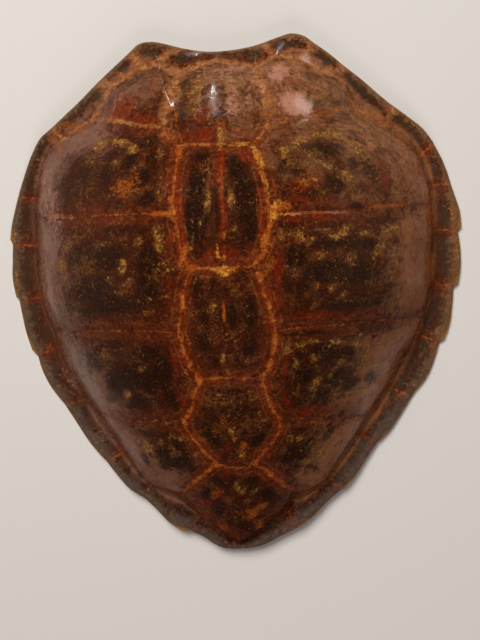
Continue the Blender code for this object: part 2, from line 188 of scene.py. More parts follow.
COSTAL_SEAMS = (
    (((-70, 231), (-99, 235), (-135, 246), (-176, 254)),),
    (((-57, 127), (-109, 127), (-180, 127), (-225, 129), (-267, 133)),),
    (((-58, -17), (-95, -14), (-150, -15), (-205, -20), (-253, -27)),),
    (((-64, -135), (-95, -138), (-142, -145), (-200, -146)),),
    (((60, 230), (98, 231), (135, 243), (169, 252)),),
    (((58, 126), (81, 120), (147, 119), (198, 122), (268, 123)),),
    (((59, -20), (88, -17), (150, -17), (205, -20), (258, -21)),),
    (((60, -139), (84, -140), (124, -149), (181, -158)),),
)
RIGHT_MARGINAL_SEAM_ENDS = (
    (102, 315), (146, 296), (212, 225), (254, 185), (266, 149), (270, 89),
    (266, 18), (245, -52), (203, -124), (162, -186), (117, -248), (58, -285),
)
LEFT_MARGINAL_SEAM_ENDS = (
    (-104, 317), (-148, 295), (-219, 232), (-264, 155), (-269, 91), (-267, 19),
    (-248, -49), (-210, -130), (-162, -205), (-128, -250), (-61, -291),
)
SCUTE_COUNT = 41
print("seams between vertebrals:", len(VERTEBRAL_SEAMS), "- between costals:", len(COSTAL_SEAMS))

# %% [markdown]
# ## Smooth lines on the plan
# A line needs only the points that its shape asks for. A Catmull-Rom curve passes through all of them and
# can then be walked in steps as fine as the mesh wants. Lines that meet at a corner are chained, so the
# corner stays sharp.

# %% Smooth lines and chains of them
def smooth_line(points, step):
    """A Catmull-Rom curve through these points, in steps of about this length."""
    knots = [Vector(point) * MM for point in points]
    knots = [2 * knots[0] - knots[1]] + knots + [2 * knots[-1] - knots[-2]]
    line = [knots[1]]
    for before, start, end, after in zip(knots, knots[1:], knots[2:], knots[3:]):
        pieces = max(1, round((end - start).length / step))
        for index in range(1, pieces + 1):
            t = index / pieces
            square = 2 * before - 5 * start + 4 * end - after
            cube = 3 * start - before - 3 * end + after
            line.append(0.5 * (2 * start + (end - before) * t + square * t**2 + cube * t**3))
    return line


def chain(lines, step):
    """Smooth lines one after the other, without a double point where they meet."""
    joined = smooth_line(lines[0], step)
    for line in lines[1:]:
        points = smooth_line(line, step)
        joined += points[1:] if (points[0] - joined[-1]).length < MM else points
    return joined


print("the tail seam has", len(chain(TAIL_SEAM, 3 * MM)), "points")

# %% [markdown]
# ## The height of the shell over its plan
# Seen from the pole, every direction has its own distance to the costals' foot and to the rim. Inside
# the foot the dome falls as one minus a power of the distance. Outside it the marginal scutes make a
# trough and a flared lip. The whole sum works on arrays of points, so a fine mesh is lifted at once.

# %% Curves round the pole
CURVE_STEP = 4 * MM


def smooth_step(share):
    """From 0 to 1 with a soft start and end."""
    share = np.clip(share, 0.0, 1.0)
    return share * share * (3 - 2 * share)


def ridge(distance, half_width):
    """A bell shape, 1 in its middle."""
    return np.exp(-((distance / half_width) ** 2))


class RadialCurve:
    """A closed plan curve round the pole, as a distance from it for each direction."""

    def __init__(self, points):
        arms = np.array([point - POLE for point in points])
        angles = np.arctan2(arms[:, 1], arms[:, 0])
        order = np.argsort(angles, kind="stable")
        self.angles = angles[order]
        self.lengths = np.hypot(arms[:, 0], arms[:, 1])[order]

    def __call__(self, angle):
        return np.interp(angle, self.angles, self.lengths, period=2 * math.pi)


class WavyCurve(RadialCurve):
    """A radial curve with only its first few waves kept."""

    def __init__(self, curve, waves):
        self.angles = np.radians(np.arange(-180, 180))
        spectrum = np.fft.rfft(curve(self.angles))
        spectrum[waves + 1 :] = 0
        self.lengths = np.fft.irfft(spectrum, len(self.angles))


front_edge = chain((NUCHAL_SEAM[1], NUCHAL_SEAM[2], NUCHAL_SEAM[3]), CURVE_STEP)
side_edges = chain(RIGHT_SULCUS, CURVE_STEP) + chain(LEFT_SULCUS, CURVE_STEP)
FOOT = RadialCurve(front_edge + side_edges)

right_points = [point for scute in RIGHT_RIM for point in scute[:-1]]
left_points = [point for scute in LEFT_RIM for point in scute[:-1]]
rim_loop = right_points + [RIGHT_RIM[-1][-1]] + left_points[::-1] + list(NUCHAL_RIM[1:])
RIM = RadialCurve(smooth_line(rim_loop, CURVE_STEP))
BODY = WavyCurve(FOOT, BODY_WAVES)
print("foot to the right of the pole:", round(float(FOOT(0.0)) / MM, 1), "mm")


# %% Heights
def rim_lift(y):
    """How far the rim rises towards the tail and towards the head."""
    tail = smooth_step((TAIL_LIFT_START - y) / TAIL_LIFT_LENGTH)
    head = smooth_step((y - HEAD_LIFT_START) / HEAD_LIFT_LENGTH)
    return TAIL_LIFT * tail + HEAD_LIFT * head


def trough_profile(across):
    """From the costals' foot (0) over trough and crest to the rim (1)."""
    rise = np.clip(1 - across / TROUGH_PLACE, 0, 1) ** FOOT_BEND
    inner = TROUGH_HEIGHT + (COSTAL_FOOT_HEIGHT - TROUGH_HEIGHT) * rise
    climb = (across - TROUGH_PLACE) / (CREST_PLACE - TROUGH_PLACE)
    flare = TROUGH_HEIGHT + LIP_CREST * smooth_step(climb)
    crest = TROUGH_HEIGHT + LIP_CREST
    beyond = np.clip((across - CREST_PLACE) / (1 - CREST_PLACE), 0, 1)
    outer = crest - (crest - RIM_EDGE_HEIGHT) * beyond**2
    return np.where(across < TROUGH_PLACE, inner, np.where(across < CREST_PLACE, flare, outer))


def marginal_height(across, y):
    """The trough and lip of the sides fade into a plain slope at the head."""
    rise = np.clip(1 - across, 0, 1) ** SLOPE_BEND
    slope = RIM_EDGE_HEIGHT + (COSTAL_FOOT_HEIGHT - RIM_EDGE_HEIGHT) * rise
    fade = smooth_step((y - FADE_START) / FADE_LENGTH)
    return trough_profile(across) * (1 - fade) + slope * fade


def polar(x, y):
    """Direction and distance from the pole."""
    return np.arctan2(y - POLE.y, x - POLE.x), np.hypot(x - POLE.x, y - POLE.y)


def surface_height(x, y):
    """The smooth shell, without seams, crowns or waves."""
    angle, arm = polar(x, y)
    foot = FOOT(angle)
    across = (arm - foot) / (RIM(angle) - foot)
    margin = rim_lift(y) + marginal_height(across, y)
    end_power = np.where(y > POLE.y, HEAD_POWER, TAIL_POWER)
    power = SIDE_POWER * np.cos(angle) ** 2 + end_power * np.sin(angle) ** 2
    body = BODY(angle)
    inside = np.clip(arm / foot, 0, 1)
    fall = (arm / (body + (foot - body) * inside**FOOT_GRIP)) ** power
    foot_height = rim_lift(POLE.y + foot * np.sin(angle)) + COSTAL_FOOT_HEIGHT
    keel = KEEL_HEIGHT * ridge(x - POLE.x, KEEL_HALF_WIDTH) * smooth_step((POLE.y - y) / KEEL_FADE)
    dome = foot_height + (APEX_HEIGHT - foot_height) * (1 - fall) + keel * (1 - fall)
    return np.where(arm >= foot, margin, dome)


print("height at the pole:", round(float(surface_height(POLE.x, POLE.y)) / MM, 1), "mm")

# %% [markdown]
# ## One face for each scute
# Horny scutes tile the shell, so the mesh starts as its outline in one flat face, and every seam splits
# it once more. The grooves, the crowns and the streaks in the horn all follow the edges of these 41
# faces.

# %% The scored plan
SEAM_STEP = 3 * MM


def outline_points():
    right = chain(RIGHT_RIM, SEAM_STEP)
    left = chain(LEFT_RIM, SEAM_STEP)
    front = smooth_line(NUCHAL_RIM, SEAM_STEP)
    return front[:-1] + right + left[::-1][1:-1]


def nearest_vertex(bm, point):
    return min(bm.verts, key=lambda vert: (vert.co.xy - point).length_squared)


def score(bm, lines):
    """Splits one face along a seam whose ends lie on that face's outline."""
    seam = chain(lines, SEAM_STEP)
    start, end = nearest_vertex(bm, seam[0]), nearest_vertex(bm, seam[-1])
    face = next(face for face in start.link_faces if end in face.verts)
    bmesh.utils.face_split(face, start, end, coords=[point.to_3d() for point in seam[1:-1]])


marginal_seams = []
for rims, ends in ((RIGHT_RIM, RIGHT_MARGINAL_SEAM_ENDS), (LEFT_RIM, LEFT_MARGINAL_SEAM_ENDS)):
    marginal_seams += [((inner_end, scute[0]),) for scute, inner_end in zip(rims[1:], ends)]

shell = bmesh.new()
outline = [shell.verts.new(point.to_3d()) for point in outline_points()]
bmesh.ops.contextual_create(shell, geom=outline)
score(shell, NUCHAL_SEAM)
score(shell, LEFT_SULCUS + TAIL_SEAM)
score(shell, RIGHT_SULCUS)
for seam in marginal_seams:
    score(shell, seam)
score(shell, LEFT_VERTEBRAL_LINE)
score(shell, RIGHT_VERTEBRAL_LINE)
for seam in VERTEBRAL_SEAMS + COSTAL_SEAMS:
    score(shell, seam)
bmesh.ops.recalc_face_normals(shell, faces=shell.faces[:])
if shell.faces[0].normal.z < 0:
    bmesh.ops.reverse_faces(shell, faces=shell.faces[:])
assert len(shell.faces) == SCUTE_COUNT
print(len(shell.faces), "scutes from", len(shell.verts), "points")

# %% [markdown]
# ## A fine mesh inside each scute
# Three narrow insets keep the edges of the mesh parallel to each seam, so the groove comes out crisp.
# The rest of each scute is cut into small cells by parallel planes, first across the shell and then
# along it. Halving the stretch at each cut means that a plane only meets the faces near it.

# %% Insets along the seams, then a grid of cuts
SEAM_INSETS = (0.5 * MM, 0.7 * MM, 1.0 * MM)
CELL = 4 * MM
ACROSS, ALONG = 0, 1
HALF_WIDTH, HALF_LENGTH = 313 * MM, 353 * MM
TOUCH = 1e-6


def cut_in_cells(bm, faces, axis, low, high):
    """Cuts faces by planes a cell apart, halving the stretch between low and high each time."""
    steps = round((high - low) / CELL)
    if steps < 2 or not faces:
        return faces
    place, normal = Vector((0, 0, 0)), Vector((0, 0, 0))
    place[axis] = middle = low + steps // 2 * CELL
    normal[axis] = 1
    edges = list({edge for face in faces for edge in face.edges})
    verts = list({vert for face in faces for vert in face.verts})
    geometry = verts + edges + faces
    made = bmesh.ops.bisect_plane(bm, geom=geometry, dist=TOUCH, plane_co=place, plane_no=normal)
    cells = [item for item in made["geom"] if isinstance(item, bmesh.types.BMFace)]
    near = [cell for cell in cells if cell.calc_center_bounds()[axis] < middle]
    far = [cell for cell in cells if cell.calc_center_bounds()[axis] >= middle]
    return cut_in_cells(bm, near, axis, low, middle) + cut_in_cells(bm, far, axis, middle, high)


def whole_cells(half_span):
    """The ends of a stretch of whole cells that starts at minus this half and covers both halves."""
    return -half_span, -half_span + math.ceil(2 * half_span / CELL) * CELL


scutes = shell.faces[:]
for inset in SEAM_INSETS:
    bmesh.ops.inset_individual(shell, faces=scutes, thickness=inset)
rows = cut_in_cells(shell, scutes, ALONG, *whole_cells(HALF_LENGTH))
cells = cut_in_cells(shell, rows, ACROSS, *whole_cells(HALF_WIDTH))
print("the scutes have", len(cells), "cells, and the plan", len(shell.verts), "points")

# %% [markdown]
# ## Lift the plan to the dome
# The smooth form comes first. On top of it each large scute stands a little proud in its middle, each
# seam is a shallow groove, and the whole surface is slightly uneven, which makes its gloss swim. At the
# head end all of this is weaker, and a low swell on the front of the dome carries the brightest streak.

# %% Distance to the seams
SEAM_POINT_STEP = 0.5 * MM
RIGHT_HEAD_SEAMS, LEFT_HEAD_SEAMS = 4, 3
right_seams = tuple(marginal_seams[: len(RIGHT_MARGINAL_SEAM_ENDS)])
left_seams = tuple(marginal_seams[len(RIGHT_MARGINAL_SEAM_ENDS) :])

# Each group of seams, and how brightly it will glow.
SEAM_GROUPS = (
    ((LEFT_VERTEBRAL_LINE, RIGHT_VERTEBRAL_LINE), 0.8),
    (VERTEBRAL_SEAMS, 0.5),
    (COSTAL_SEAMS, 0.15),
    ((NUCHAL_SEAM, LEFT_SULCUS[:2], RIGHT_SULCUS[:2]), 0.5),
    ((LEFT_SULCUS[2:], RIGHT_SULCUS[2:], TAIL_SEAM), 0.05),
    (right_seams[:RIGHT_HEAD_SEAMS] + left_seams[:LEFT_HEAD_SEAMS], 0.8),
    (right_seams[RIGHT_HEAD_SEAMS:] + left_seams[LEFT_HEAD_SEAMS:], 0.4),
)
seam_points, glow_of_point = [], []
for seams, glow in SEAM_GROUPS:
    for seam in seams:
        points = [point.to_3d() for point in chain(seam, SEAM_POINT_STEP)]
        seam_points += points
        glow_of_point += [glow] * len(points)
seam_tree = KDTree(len(seam_points))
for index, point in enumerate(seam_points):
    seam_tree.insert(point, index)
seam_tree.balance()


def seam_distance(x, y):
    return np.array([seam_tree.find((px, py, 0))[2] for px, py in zip(x, y)])


print(len(seam_points), "points along the seams")

# %% Lift
SCUTE_CROWN, CROWN_REACH = 2 * MM, 45 * MM
SEAM_DEPTH, SEAM_HALF_WIDTH = 0.38 * MM, 2.4 * MM
HEAD_SEAM_START, HEAD_SEAM_FADE, HEAD_SEAM_LOSS, HEAD_CROWN_LOSS = 195 * MM, 40 * MM, 0.8, 0.3
HEAD_CALM = 0.7
UNEVEN_HEIGHT, UNEVEN_WAVE = 0.8 * MM, 42 * MM
PUCKER_HEIGHT, PUCKER_WAVE = 0.7 * MM, 17 * MM
FLANK_START, FLANK_FADE = 0.6, 0.3
RIM_CALM = 8 * MM
FRONT_SWELL = 4.4 * MM
SWELL_PLACE, SWELL_REACH = (-8 * MM, 318 * MM), (26 * MM, 20 * MM)


def unevenness(x, y, flank):
    """Slow waves all over, and closer puckers on the flanks."""
    waves = [noise.noise(Vector((px, py, 0)) / UNEVEN_WAVE) for px, py in zip(x, y)]
    puckers = [noise.noise(Vector((px, py, 1)) / PUCKER_WAVE) for px, py in zip(x, y)]
    return UNEVEN_HEIGHT * np.array(waves) + PUCKER_HEIGHT * np.array(puckers) * flank


def horn_height(x, y):
    """The shell's surface with crowns, seams, waves and the swell at the front."""
    angle, arm = polar(x, y)
    distance = seam_distance(x, y)
    headward_share = smooth_step((y - HEAD_SEAM_START) / HEAD_SEAM_FADE)
    crown = np.where(arm < FOOT(angle), SCUTE_CROWN * smooth_step(distance / CROWN_REACH), 0.0)
    crown = crown * (1 - HEAD_CROWN_LOSS * headward_share)
    away_from_rim = smooth_step((RIM(angle) - arm) / RIM_CALM)
    seam_cut = SEAM_DEPTH * ridge(distance, SEAM_HALF_WIDTH) * (1 - HEAD_SEAM_LOSS * headward_share)
    flank = smooth_step((arm / FOOT(angle) - FLANK_START) / FLANK_FADE)
    off_x, off_y = (x - SWELL_PLACE[0]) / SWELL_REACH[0], (y - SWELL_PLACE[1]) / SWELL_REACH[1]
    swell = FRONT_SWELL * np.exp(-(off_x**2 + off_y**2) / 2)
    waves = unevenness(x, y, flank) * away_from_rim * (1 - HEAD_CALM * headward_share)
    return surface_height(x, y) + crown + swell + waves - seam_cut


plan = np.array([vert.co for vert in shell.verts])
heights = horn_height(plan[:, 0], plan[:, 1])
for vert, height in zip(shell.verts, heights):
    vert.co.z = height
print("highest point:", round(heights.max() / MM, 1), "mm")

# %% [markdown]
# ## The bony underside
# Under the horn is bone. The inner wall follows the dome at an even distance, with the backbone fused
# along its middle and eight ribs on each side. Open edges are drawn inwards, row by row, from the rim
# to the pole, and the last small ring is closed.

# %% Spine and ribs
WALL = 7 * MM
MARGINAL_BONE, BONE_BEND = 14 * MM, 1.5
CONTACT_INSET, CONTACT_WIDTH = 1.6 * MM, 4.5 * MM
SPINE_DEPTH, SPINE_HALF_WIDTH = 11 * MM, 10 * MM
SPINE_HEAD_Y, SPINE_HEAD_FADE = 255 * MM, 30 * MM
SPINE_TAIL_Y, SPINE_TAIL_FADE = -262 * MM, 60 * MM
VERTEBRA_LENGTH, VERTEBRA_WAIST = 58 * MM, 0.16
RIB_DEPTH, RIB_HALF_WIDTH, RIB_LENGTH = 4 * MM, 13 * MM, 250 * MM
RIBS = (
    (225, 262), (170, 196), (112, 125), (52, 50), (-10, -24), (-70, -95), (-128, -165), (-184, -228),
)
SLOPE_REACH = 2 * MM


def underside_relief(x, y):
    """How far the spine and the ribs stand out of the inner wall."""
    head_end = smooth_step((SPINE_HEAD_Y - y) / SPINE_HEAD_FADE)
    tail_end = smooth_step((y - SPINE_TAIL_Y) / SPINE_TAIL_FADE)
    swell = 1 + VERTEBRA_WAIST * np.cos(2 * math.pi * (y - RIBS[0][0] * MM) / VERTEBRA_LENGTH)
    spine = SPINE_DEPTH * ridge(x - POLE.x, SPINE_HALF_WIDTH * swell) * head_end * tail_end
    rib = np.zeros_like(x)
    for spine_y, foot_y in RIBS:
        rib_y = (spine_y + (foot_y - spine_y) * abs(x - POLE.x) / RIB_LENGTH) * MM
        rib = np.maximum(rib, RIB_DEPTH * ridge(y - rib_y, RIB_HALF_WIDTH))
    return np.maximum(spine, rib)


def dome_underside(places, ratio):
    """The inner wall below these points: the outer surface moved in along its normal."""
    angle, arm = polar(places[:, 0], places[:, 1])
    arm = FOOT(angle) * ratio
    x, y = POLE.x + arm * np.cos(angle), POLE.y + arm * np.sin(angle)
    slope_x = (surface_height(x + SLOPE_REACH, y) - surface_height(x - SLOPE_REACH, y)) / (2 * SLOPE_REACH)
    slope_y = (surface_height(x, y + SLOPE_REACH) - surface_height(x, y - SLOPE_REACH)) / (2 * SLOPE_REACH)
    normals = np.stack([-slope_x, -slope_y, np.ones_like(x)], axis=1)
    normals /= np.linalg.norm(normals, axis=1)[:, None]
    outer = np.stack([x, y, surface_height(x, y)], axis=1)
    return outer - normals * (WALL + underside_relief(x, y))[:, None]


def marginal_underside(places, across):
    """Under the marginal bones, between the contact strip (1) and the inner wall (0)."""
    angle, arm = polar(places[:, 0], places[:, 1])
    foot, rim = FOOT(angle), RIM(angle) - CONTACT_INSET - CONTACT_WIDTH
    arm = foot + (rim - foot) * across
    x, y = POLE.x + arm * np.cos(angle), POLE.y + arm * np.sin(angle)
    height = (COSTAL_FOOT_HEIGHT - MARGINAL_BONE) * (1 - across) ** BONE_BEND
    return np.stack([x, y, rim_lift(y) + height], axis=1)


def towards_pole(places, distance, height):
    """The same points moved in towards the pole, at a height over the rim's lift."""
    angle, arm = polar(places[:, 0], places[:, 1])
    x, y = POLE.x + (arm - distance) * np.cos(angle), POLE.y + (arm - distance) * np.sin(angle)
    return np.stack([x, y, rim_lift(places[:, 1]) + height], axis=1)


rib_x, rib_y = np.array([100 * MM]), np.array([180 * MM])
print("relief under the second costal:", round(float(underside_relief(rib_x, rib_y)[0] / MM), 1), "mm")

# %% Rows of the underside
RIM_ROUND = ((0.0, 4.4), (0.1, 3.2), (0.4, 1.7), (0.7, 0.6), (0.4, 0.0))
CONTACT_ROWS = 2
MARGINAL_ROWS = (0.88, 0.75, 0.62, 0.5, 0.38, 0.27, 0.18, 0.1)
OUTER_DOME_ROWS = tuple(np.arange(0.97, 0.45, -0.02))
MIDDLE_DOME_ROWS = tuple(np.arange(0.43, 0.19, -0.03))
INNER_DOME_ROWS = (0.16, 0.12, 0.08, 0.04)
BONE, HORN = 1, 0
HORN_EDGE = 0.5


def next_row(bm, edges, material, place, *where):
    """Draws these open edges out into a row of faces, and returns the new open edges."""
    made = bmesh.ops.extrude_edge_only(bm, edges=edges)["geom"]
    verts = [item for item in made if isinstance(item, bmesh.types.BMVert)]
    for vert, co in zip(verts, place(np.array([vert.co for vert in verts]), *where)):
        vert.co = co
    for item in made:
        if isinstance(item, bmesh.types.BMFace):
            item.material_index = material
    return [item for item in made if isinstance(item, bmesh.types.BMEdge) and item.is_boundary]


def halve(bm, edges):
    """Collapses every second edge of an open loop, so that the rows after it have half the points."""
    middles = np.array([(edge.verts[0].co + edge.verts[1].co) / 2 for edge in edges])
    order = np.argsort(polar(middles[:, 0], middles[:, 1])[0])
    ordered = [edges[index] for index in order]
    bmesh.ops.collapse(bm, edges=ordered[: len(ordered) // 2 * 2 : 2])
    return [edge for edge in bm.edges if edge.is_boundary]


edges = [edge for edge in shell.edges if edge.is_boundary]
for inset, height in RIM_ROUND:
    edges = next_row(shell, edges, HORN, towards_pole, inset * MM, height * MM)
for _ in range(CONTACT_ROWS):
    edges = next_row(shell, edges, HORN, towards_pole, CONTACT_WIDTH / CONTACT_ROWS, 0.0)
for across in MARGINAL_ROWS:
    edges = next_row(shell, edges, HORN if across > HORN_EDGE else BONE, marginal_underside, across)
for ratios in (OUTER_DOME_ROWS, MIDDLE_DOME_ROWS, INNER_DOME_ROWS):
    edges = halve(shell, edges)
    for ratio in ratios:
        edges = next_row(shell, edges, BONE, dome_underside, ratio)
cap = bmesh.ops.contextual_create(shell, geom=edges)["faces"]
for face in cap:
    face.material_index = BONE
for vert in bmesh.ops.poke(shell, faces=cap)["verts"]:
    vert.co = dome_underside(np.array([vert.co]), 0.0)[0]
bmesh.ops.recalc_face_normals(shell, faces=shell.faces[:])
print("open edges:", sum(edge.is_boundary for edge in shell.edges), "points:", len(shell.verts))

# %% The mesh
SHARP_ANGLE = math.radians(60)
bmesh.ops.triangulate(shell, faces=shell.faces[:])
lowest = min(vert.co.z for vert in shell.verts)
bmesh.ops.translate(shell, verts=shell.verts[:], vec=(0, 0, -lowest))
carapace_mesh = bpy.data.meshes.new("carapace_horn_and_bone")
shell.to_mesh(carapace_mesh)
shell.free()
carapace_mesh.shade_smooth()
carapace_mesh.set_sharp_from_angle(angle=SHARP_ANGLE)
carapace = bpy.data.objects.new("carapace_horn_and_bone", carapace_mesh)
bpy.context.scene.collection.objects.link(carapace)
print("the shell has", len(carapace_mesh.polygons), "triangles")

# %% [markdown]
# ## Where the colours lie
# Tortoiseshell is horn with layers of dark, red, amber and yellow in it, so its colours lie in clouds and
# not in a pattern that repeats. The larger clouds are listed as soft ovals in millimetres on the plan:
# middle x and y, half length, half width, turn in degrees, strength. They are kept in the mesh as
# attributes, one for each colour. The material later breaks their edges up with noise.

# %% Golden flecks, in drifts
GOLD_DRIFTS = (
    # nuchal and first vertebral
    (-30, 262, 24, 9, 80, 0.6), (20, 284, 22, 8, 90, 0.5), (-4, 326, 12, 4, 0, 0.6),
    (-31, 283, 18, 9, 62, 0.85), (-52, 272, 17, 4, 84, 0.7), (-20, 296, 10, 5, 20, 0.5),
    (-38, 262, 14, 6, 70, 0.5), (10, 280, 15, 7, 95, 0.55), (26, 262, 22, 8, 80, 0.45),
    (2, 216, 15, 6, 90, 0.9), (-12, 240, 12, 5, 70, 0.45), (36, 240, 16, 5, 100, 0.5),
    (44, 276, 14, 4, 75, 0.45),
    # second vertebral
    (13, 140, 14, 5, 92, 0.85), (-14, 140, 22, 4, 88, 0.75), (12, 104, 6, 3, 40, 0.8),
    (4, 98, 6, 3, 120, 0.7), (-35, 90, 15, 2.5, 80, 0.6), (-4, 172, 14, 4, 90, 0.3),
    (-24, 112, 14, 3, 80, 0.5), (42, 135, 17, 2, 95, 0.6), (-39, 150, 20, 2, 88, 0.5),
    (24, 74, 10, 4, 120, 0.4),
    # third vertebral
    (-14, 15, 9, 5, 70, 0.75), (13, 32, 7, 4, 40, 0.7), (-6, -50, 9, 4, 85, 0.9), (5, -51, 10, 3, 90, 0.6),
    (-28, 28, 12, 3, 80, 0.4), (24, 22, 12, 3, 95, 0.4), (20, -12, 9, 4, 60, 0.5),
    # fourth vertebral
    (3, -108, 16, 5, 10, 0.4), (28, -105, 8, 4, 30, 0.5), (13, -136, 10, 5, 60, 0.5),
    (-3, -150, 7, 5, 90, 0.8), (-22, -112, 10, 5, 120, 0.45), (34, -128, 9, 3, 100, 0.5),
    (8, -186, 7, 5, 80, 0.9), (-30, -132, 9, 4, 80, 0.35),
    # fifth vertebral
    (-3, -238, 10, 5, 100, 0.9), (5, -246, 8, 4, 60, 0.8), (19, -248, 9, 5, 20, 0.6),
    (-34, -236, 12, 5, 40, 0.4), (-15, -262, 8, 5, 90, 0.5), (9, -266, 10, 5, 90, 0.55),
    (23, -306, 11, 8, 100, 0.6), (-25, -311, 10, 6, 70, 0.45),
    # first costals
    (-90, 262, 10, 5, 30, 0.6), (-95, 296, 7, 4, 20, 0.5), (-72, 275, 18, 4, 80, 0.5),
    (-112, 284, 10, 4, 30, 0.3), (84, 246, 16, 4, 10, 0.4), (120, 262, 18, 5, 150, 0.4),
    # second costals
    (-150, 216, 14, 6, 20, 0.95), (-124, 216, 14, 5, 170, 1.0), (-106, 206, 9, 7, 140, 0.9),
    (-72, 198, 11, 6, 95, 0.6), (-71, 170, 18, 4, 88, 0.5), (-72, 146, 9, 4, 90, 0.75),
    (-128, 190, 14, 8, 30, 0.5), (-96, 182, 12, 8, 60, 0.45), (-168, 200, 16, 7, 60, 0.5),
    (-160, 168, 26, 8, 75, 0.35), (-104, 150, 14, 7, 20, 0.4), (-136, 150, 14, 6, 0, 0.35),
    (138, 215, 13, 6, 170, 1.0), (118, 212, 13, 5, 8, 0.9), (96, 206, 10, 6, 30, 0.9),
    (78, 192, 10, 7, 80, 0.85), (166, 196, 13, 8, 130, 0.85), (176, 186, 10, 6, 120, 0.7),
    (112, 189, 12, 6, 20, 0.75), (128, 174, 16, 5, 160, 0.7), (152, 160, 12, 9, 120, 0.8),
    (90, 176, 14, 7, 150, 0.5), (104, 156, 14, 6, 10, 0.5), (190, 168, 18, 8, 100, 0.35),
    (132, 142, 26, 6, 0, 0.35), (186, 208, 14, 6, 150, 0.45), (76, 152, 12, 5, 80, 0.4),
    # third costals
    (-190, 96, 22, 7, 20, 0.45), (-210, 66, 10, 8, 70, 0.85), (-206, 52, 8, 5, 90, 0.6),
    (-100, 95, 8, 5, 30, 0.8), (-74, 92, 14, 6, 95, 0.85), (-76, 108, 9, 6, 60, 0.7),
    (-121, 66, 12, 6, 75, 0.8), (-116, 46, 9, 5, 60, 0.7), (-174, 68, 16, 9, 40, 0.45),
    (-152, 92, 20, 6, 10, 0.4), (-138, 48, 12, 8, 60, 0.35), (-80, 62, 12, 6, 90, 0.45),
    (-72, 30, 12, 5, 85, 0.4), (-120, 100, 12, 5, 20, 0.45), (-190, 40, 16, 8, 70, 0.3),
    (-92, 8, 12, 5, 20, 0.4), (70, 94, 8, 5, 90, 0.8), (90, 94, 10, 5, 0, 0.85), (104, 86, 9, 5, 30, 0.75),
    (138, 91, 14, 5, 10, 0.9), (147, 99, 9, 5, 20, 0.8), (174, 91, 12, 5, 170, 0.85),
    (204, 95, 15, 5, 5, 0.85), (196, 84, 10, 3, 90, 0.8), (120, 98, 12, 4, 170, 0.7),
    (114, 68, 12, 6, 20, 0.6), (186, 69, 13, 7, 60, 0.8), (152, 62, 12, 8, 60, 0.65),
    (217, 62, 18, 10, 100, 0.5), (130, 30, 9, 6, 20, 0.65), (142, 20, 8, 5, 30, 0.65),
    (102, 28, 16, 6, 60, 0.5), (84, 56, 9, 5, 90, 0.5), (106, 10, 6, 4, 0, 0.75),
    (180, 30, 20, 6, 170, 0.35), (76, 26, 12, 5, 90, 0.4), (160, 12, 20, 4, 0, 0.4),
    (222, 90, 12, 5, 170, 0.5),
    # fourth costals
    (-186, -83, 9, 6, 60, 0.8), (-164, -50, 12, 7, 120, 0.5), (-137, -103, 8, 6, 60, 0.9),
    (-110, -63, 8, 5, 60, 0.7), (-206, -86, 14, 7, 60, 0.45), (-170, -72, 14, 8, 30, 0.4),
    (-150, -118, 16, 6, 20, 0.45), (-186, -112, 12, 6, 30, 0.4), (-128, -40, 20, 5, 0, 0.4),
    (-176, -36, 16, 5, 10, 0.35), (-114, -100, 10, 8, 90, 0.35), (-132, -128, 14, 4, 10, 0.35),
    (71, -44, 7, 5, 60, 0.9), (89, -38, 9, 4, 10, 0.9), (105, -36, 9, 4, 0, 0.85),
    (132, -39, 10, 4, 175, 0.9), (160, -47, 10, 5, 150, 0.9), (173, -54, 8, 7, 120, 0.85),
    (168, -66, 8, 6, 90, 0.8), (190, -84, 12, 10, 100, 0.75), (166, -113, 10, 6, 20, 0.85),
    (103, -58, 8, 5, 90, 0.8), (106, -92, 12, 7, 60, 0.85), (109, -73, 7, 6, 90, 0.6),
    (127, -81, 14, 3, 60, 0.7), (82, -62, 8, 5, 90, 0.6), (76, -76, 10, 5, 90, 0.5),
    (202, -66, 12, 7, 100, 0.5), (216, -28, 14, 5, 170, 0.5), (140, -66, 9, 6, 60, 0.6),
    (96, -112, 12, 6, 30, 0.5), (132, -116, 10, 6, 30, 0.5), (80, -100, 12, 6, 90, 0.45),
    (196, -110, 10, 7, 60, 0.4), (150, -84, 9, 8, 90, 0.45),
    # fifth costals
    (-120, -183, 11, 9, 100, 0.9), (-114, -204, 9, 5, 80, 0.7), (-85, -161, 10, 4, 10, 0.6),
    (-70, -163, 7, 4, 20, 0.7), (-84, -180, 10, 5, 120, 0.6), (-132, -166, 12, 6, 30, 0.5),
    (-100, -172, 10, 6, 60, 0.5), (-98, -220, 10, 5, 60, 0.45), (-60, -190, 10, 4, 60, 0.4),
    (-140, -196, 10, 5, 100, 0.4), (70, -168, 8, 5, 60, 0.7), (84, -169, 9, 5, 10, 0.75),
    (88, -210, 8, 5, 150, 0.8), (97, -207, 9, 6, 30, 0.85), (110, -199, 10, 7, 60, 0.9),
    (124, -185, 9, 5, 60, 0.8), (106, -176, 9, 5, 20, 0.75), (104, -158, 14, 4, 170, 0.5),
    (62, -182, 10, 4, 110, 0.5), (134, -170, 10, 5, 40, 0.5), (92, -186, 9, 4, 60, 0.5),
    # marginals
    (-305, 104, 12, 4, 80, 0.8), (-306, 44, 20, 4, 90, 0.8), (-300, -30, 12, 4, 80, 0.5),
    (306, 60, 22, 4, 90, 0.9), (300, 110, 16, 4, 100, 0.8), (302, 24, 12, 4, 85, 0.8),
    (278, -100, 12, 4, 60, 0.5), (296, -20, 14, 4, 80, 0.5), (250, -120, 14, 4, 60, 0.5),
    (-110, 344, 14, 4, 170, 0.5), (104, 342, 14, 4, 10, 0.5), (150, -262, 12, 4, 50, 0.6),
    (86, -322, 14, 4, 40, 0.6), (-250, -140, 14, 4, 120, 0.4), (-92, -322, 12, 4, 140, 0.4),
)
print("golden drifts:", len(GOLD_DRIFTS))

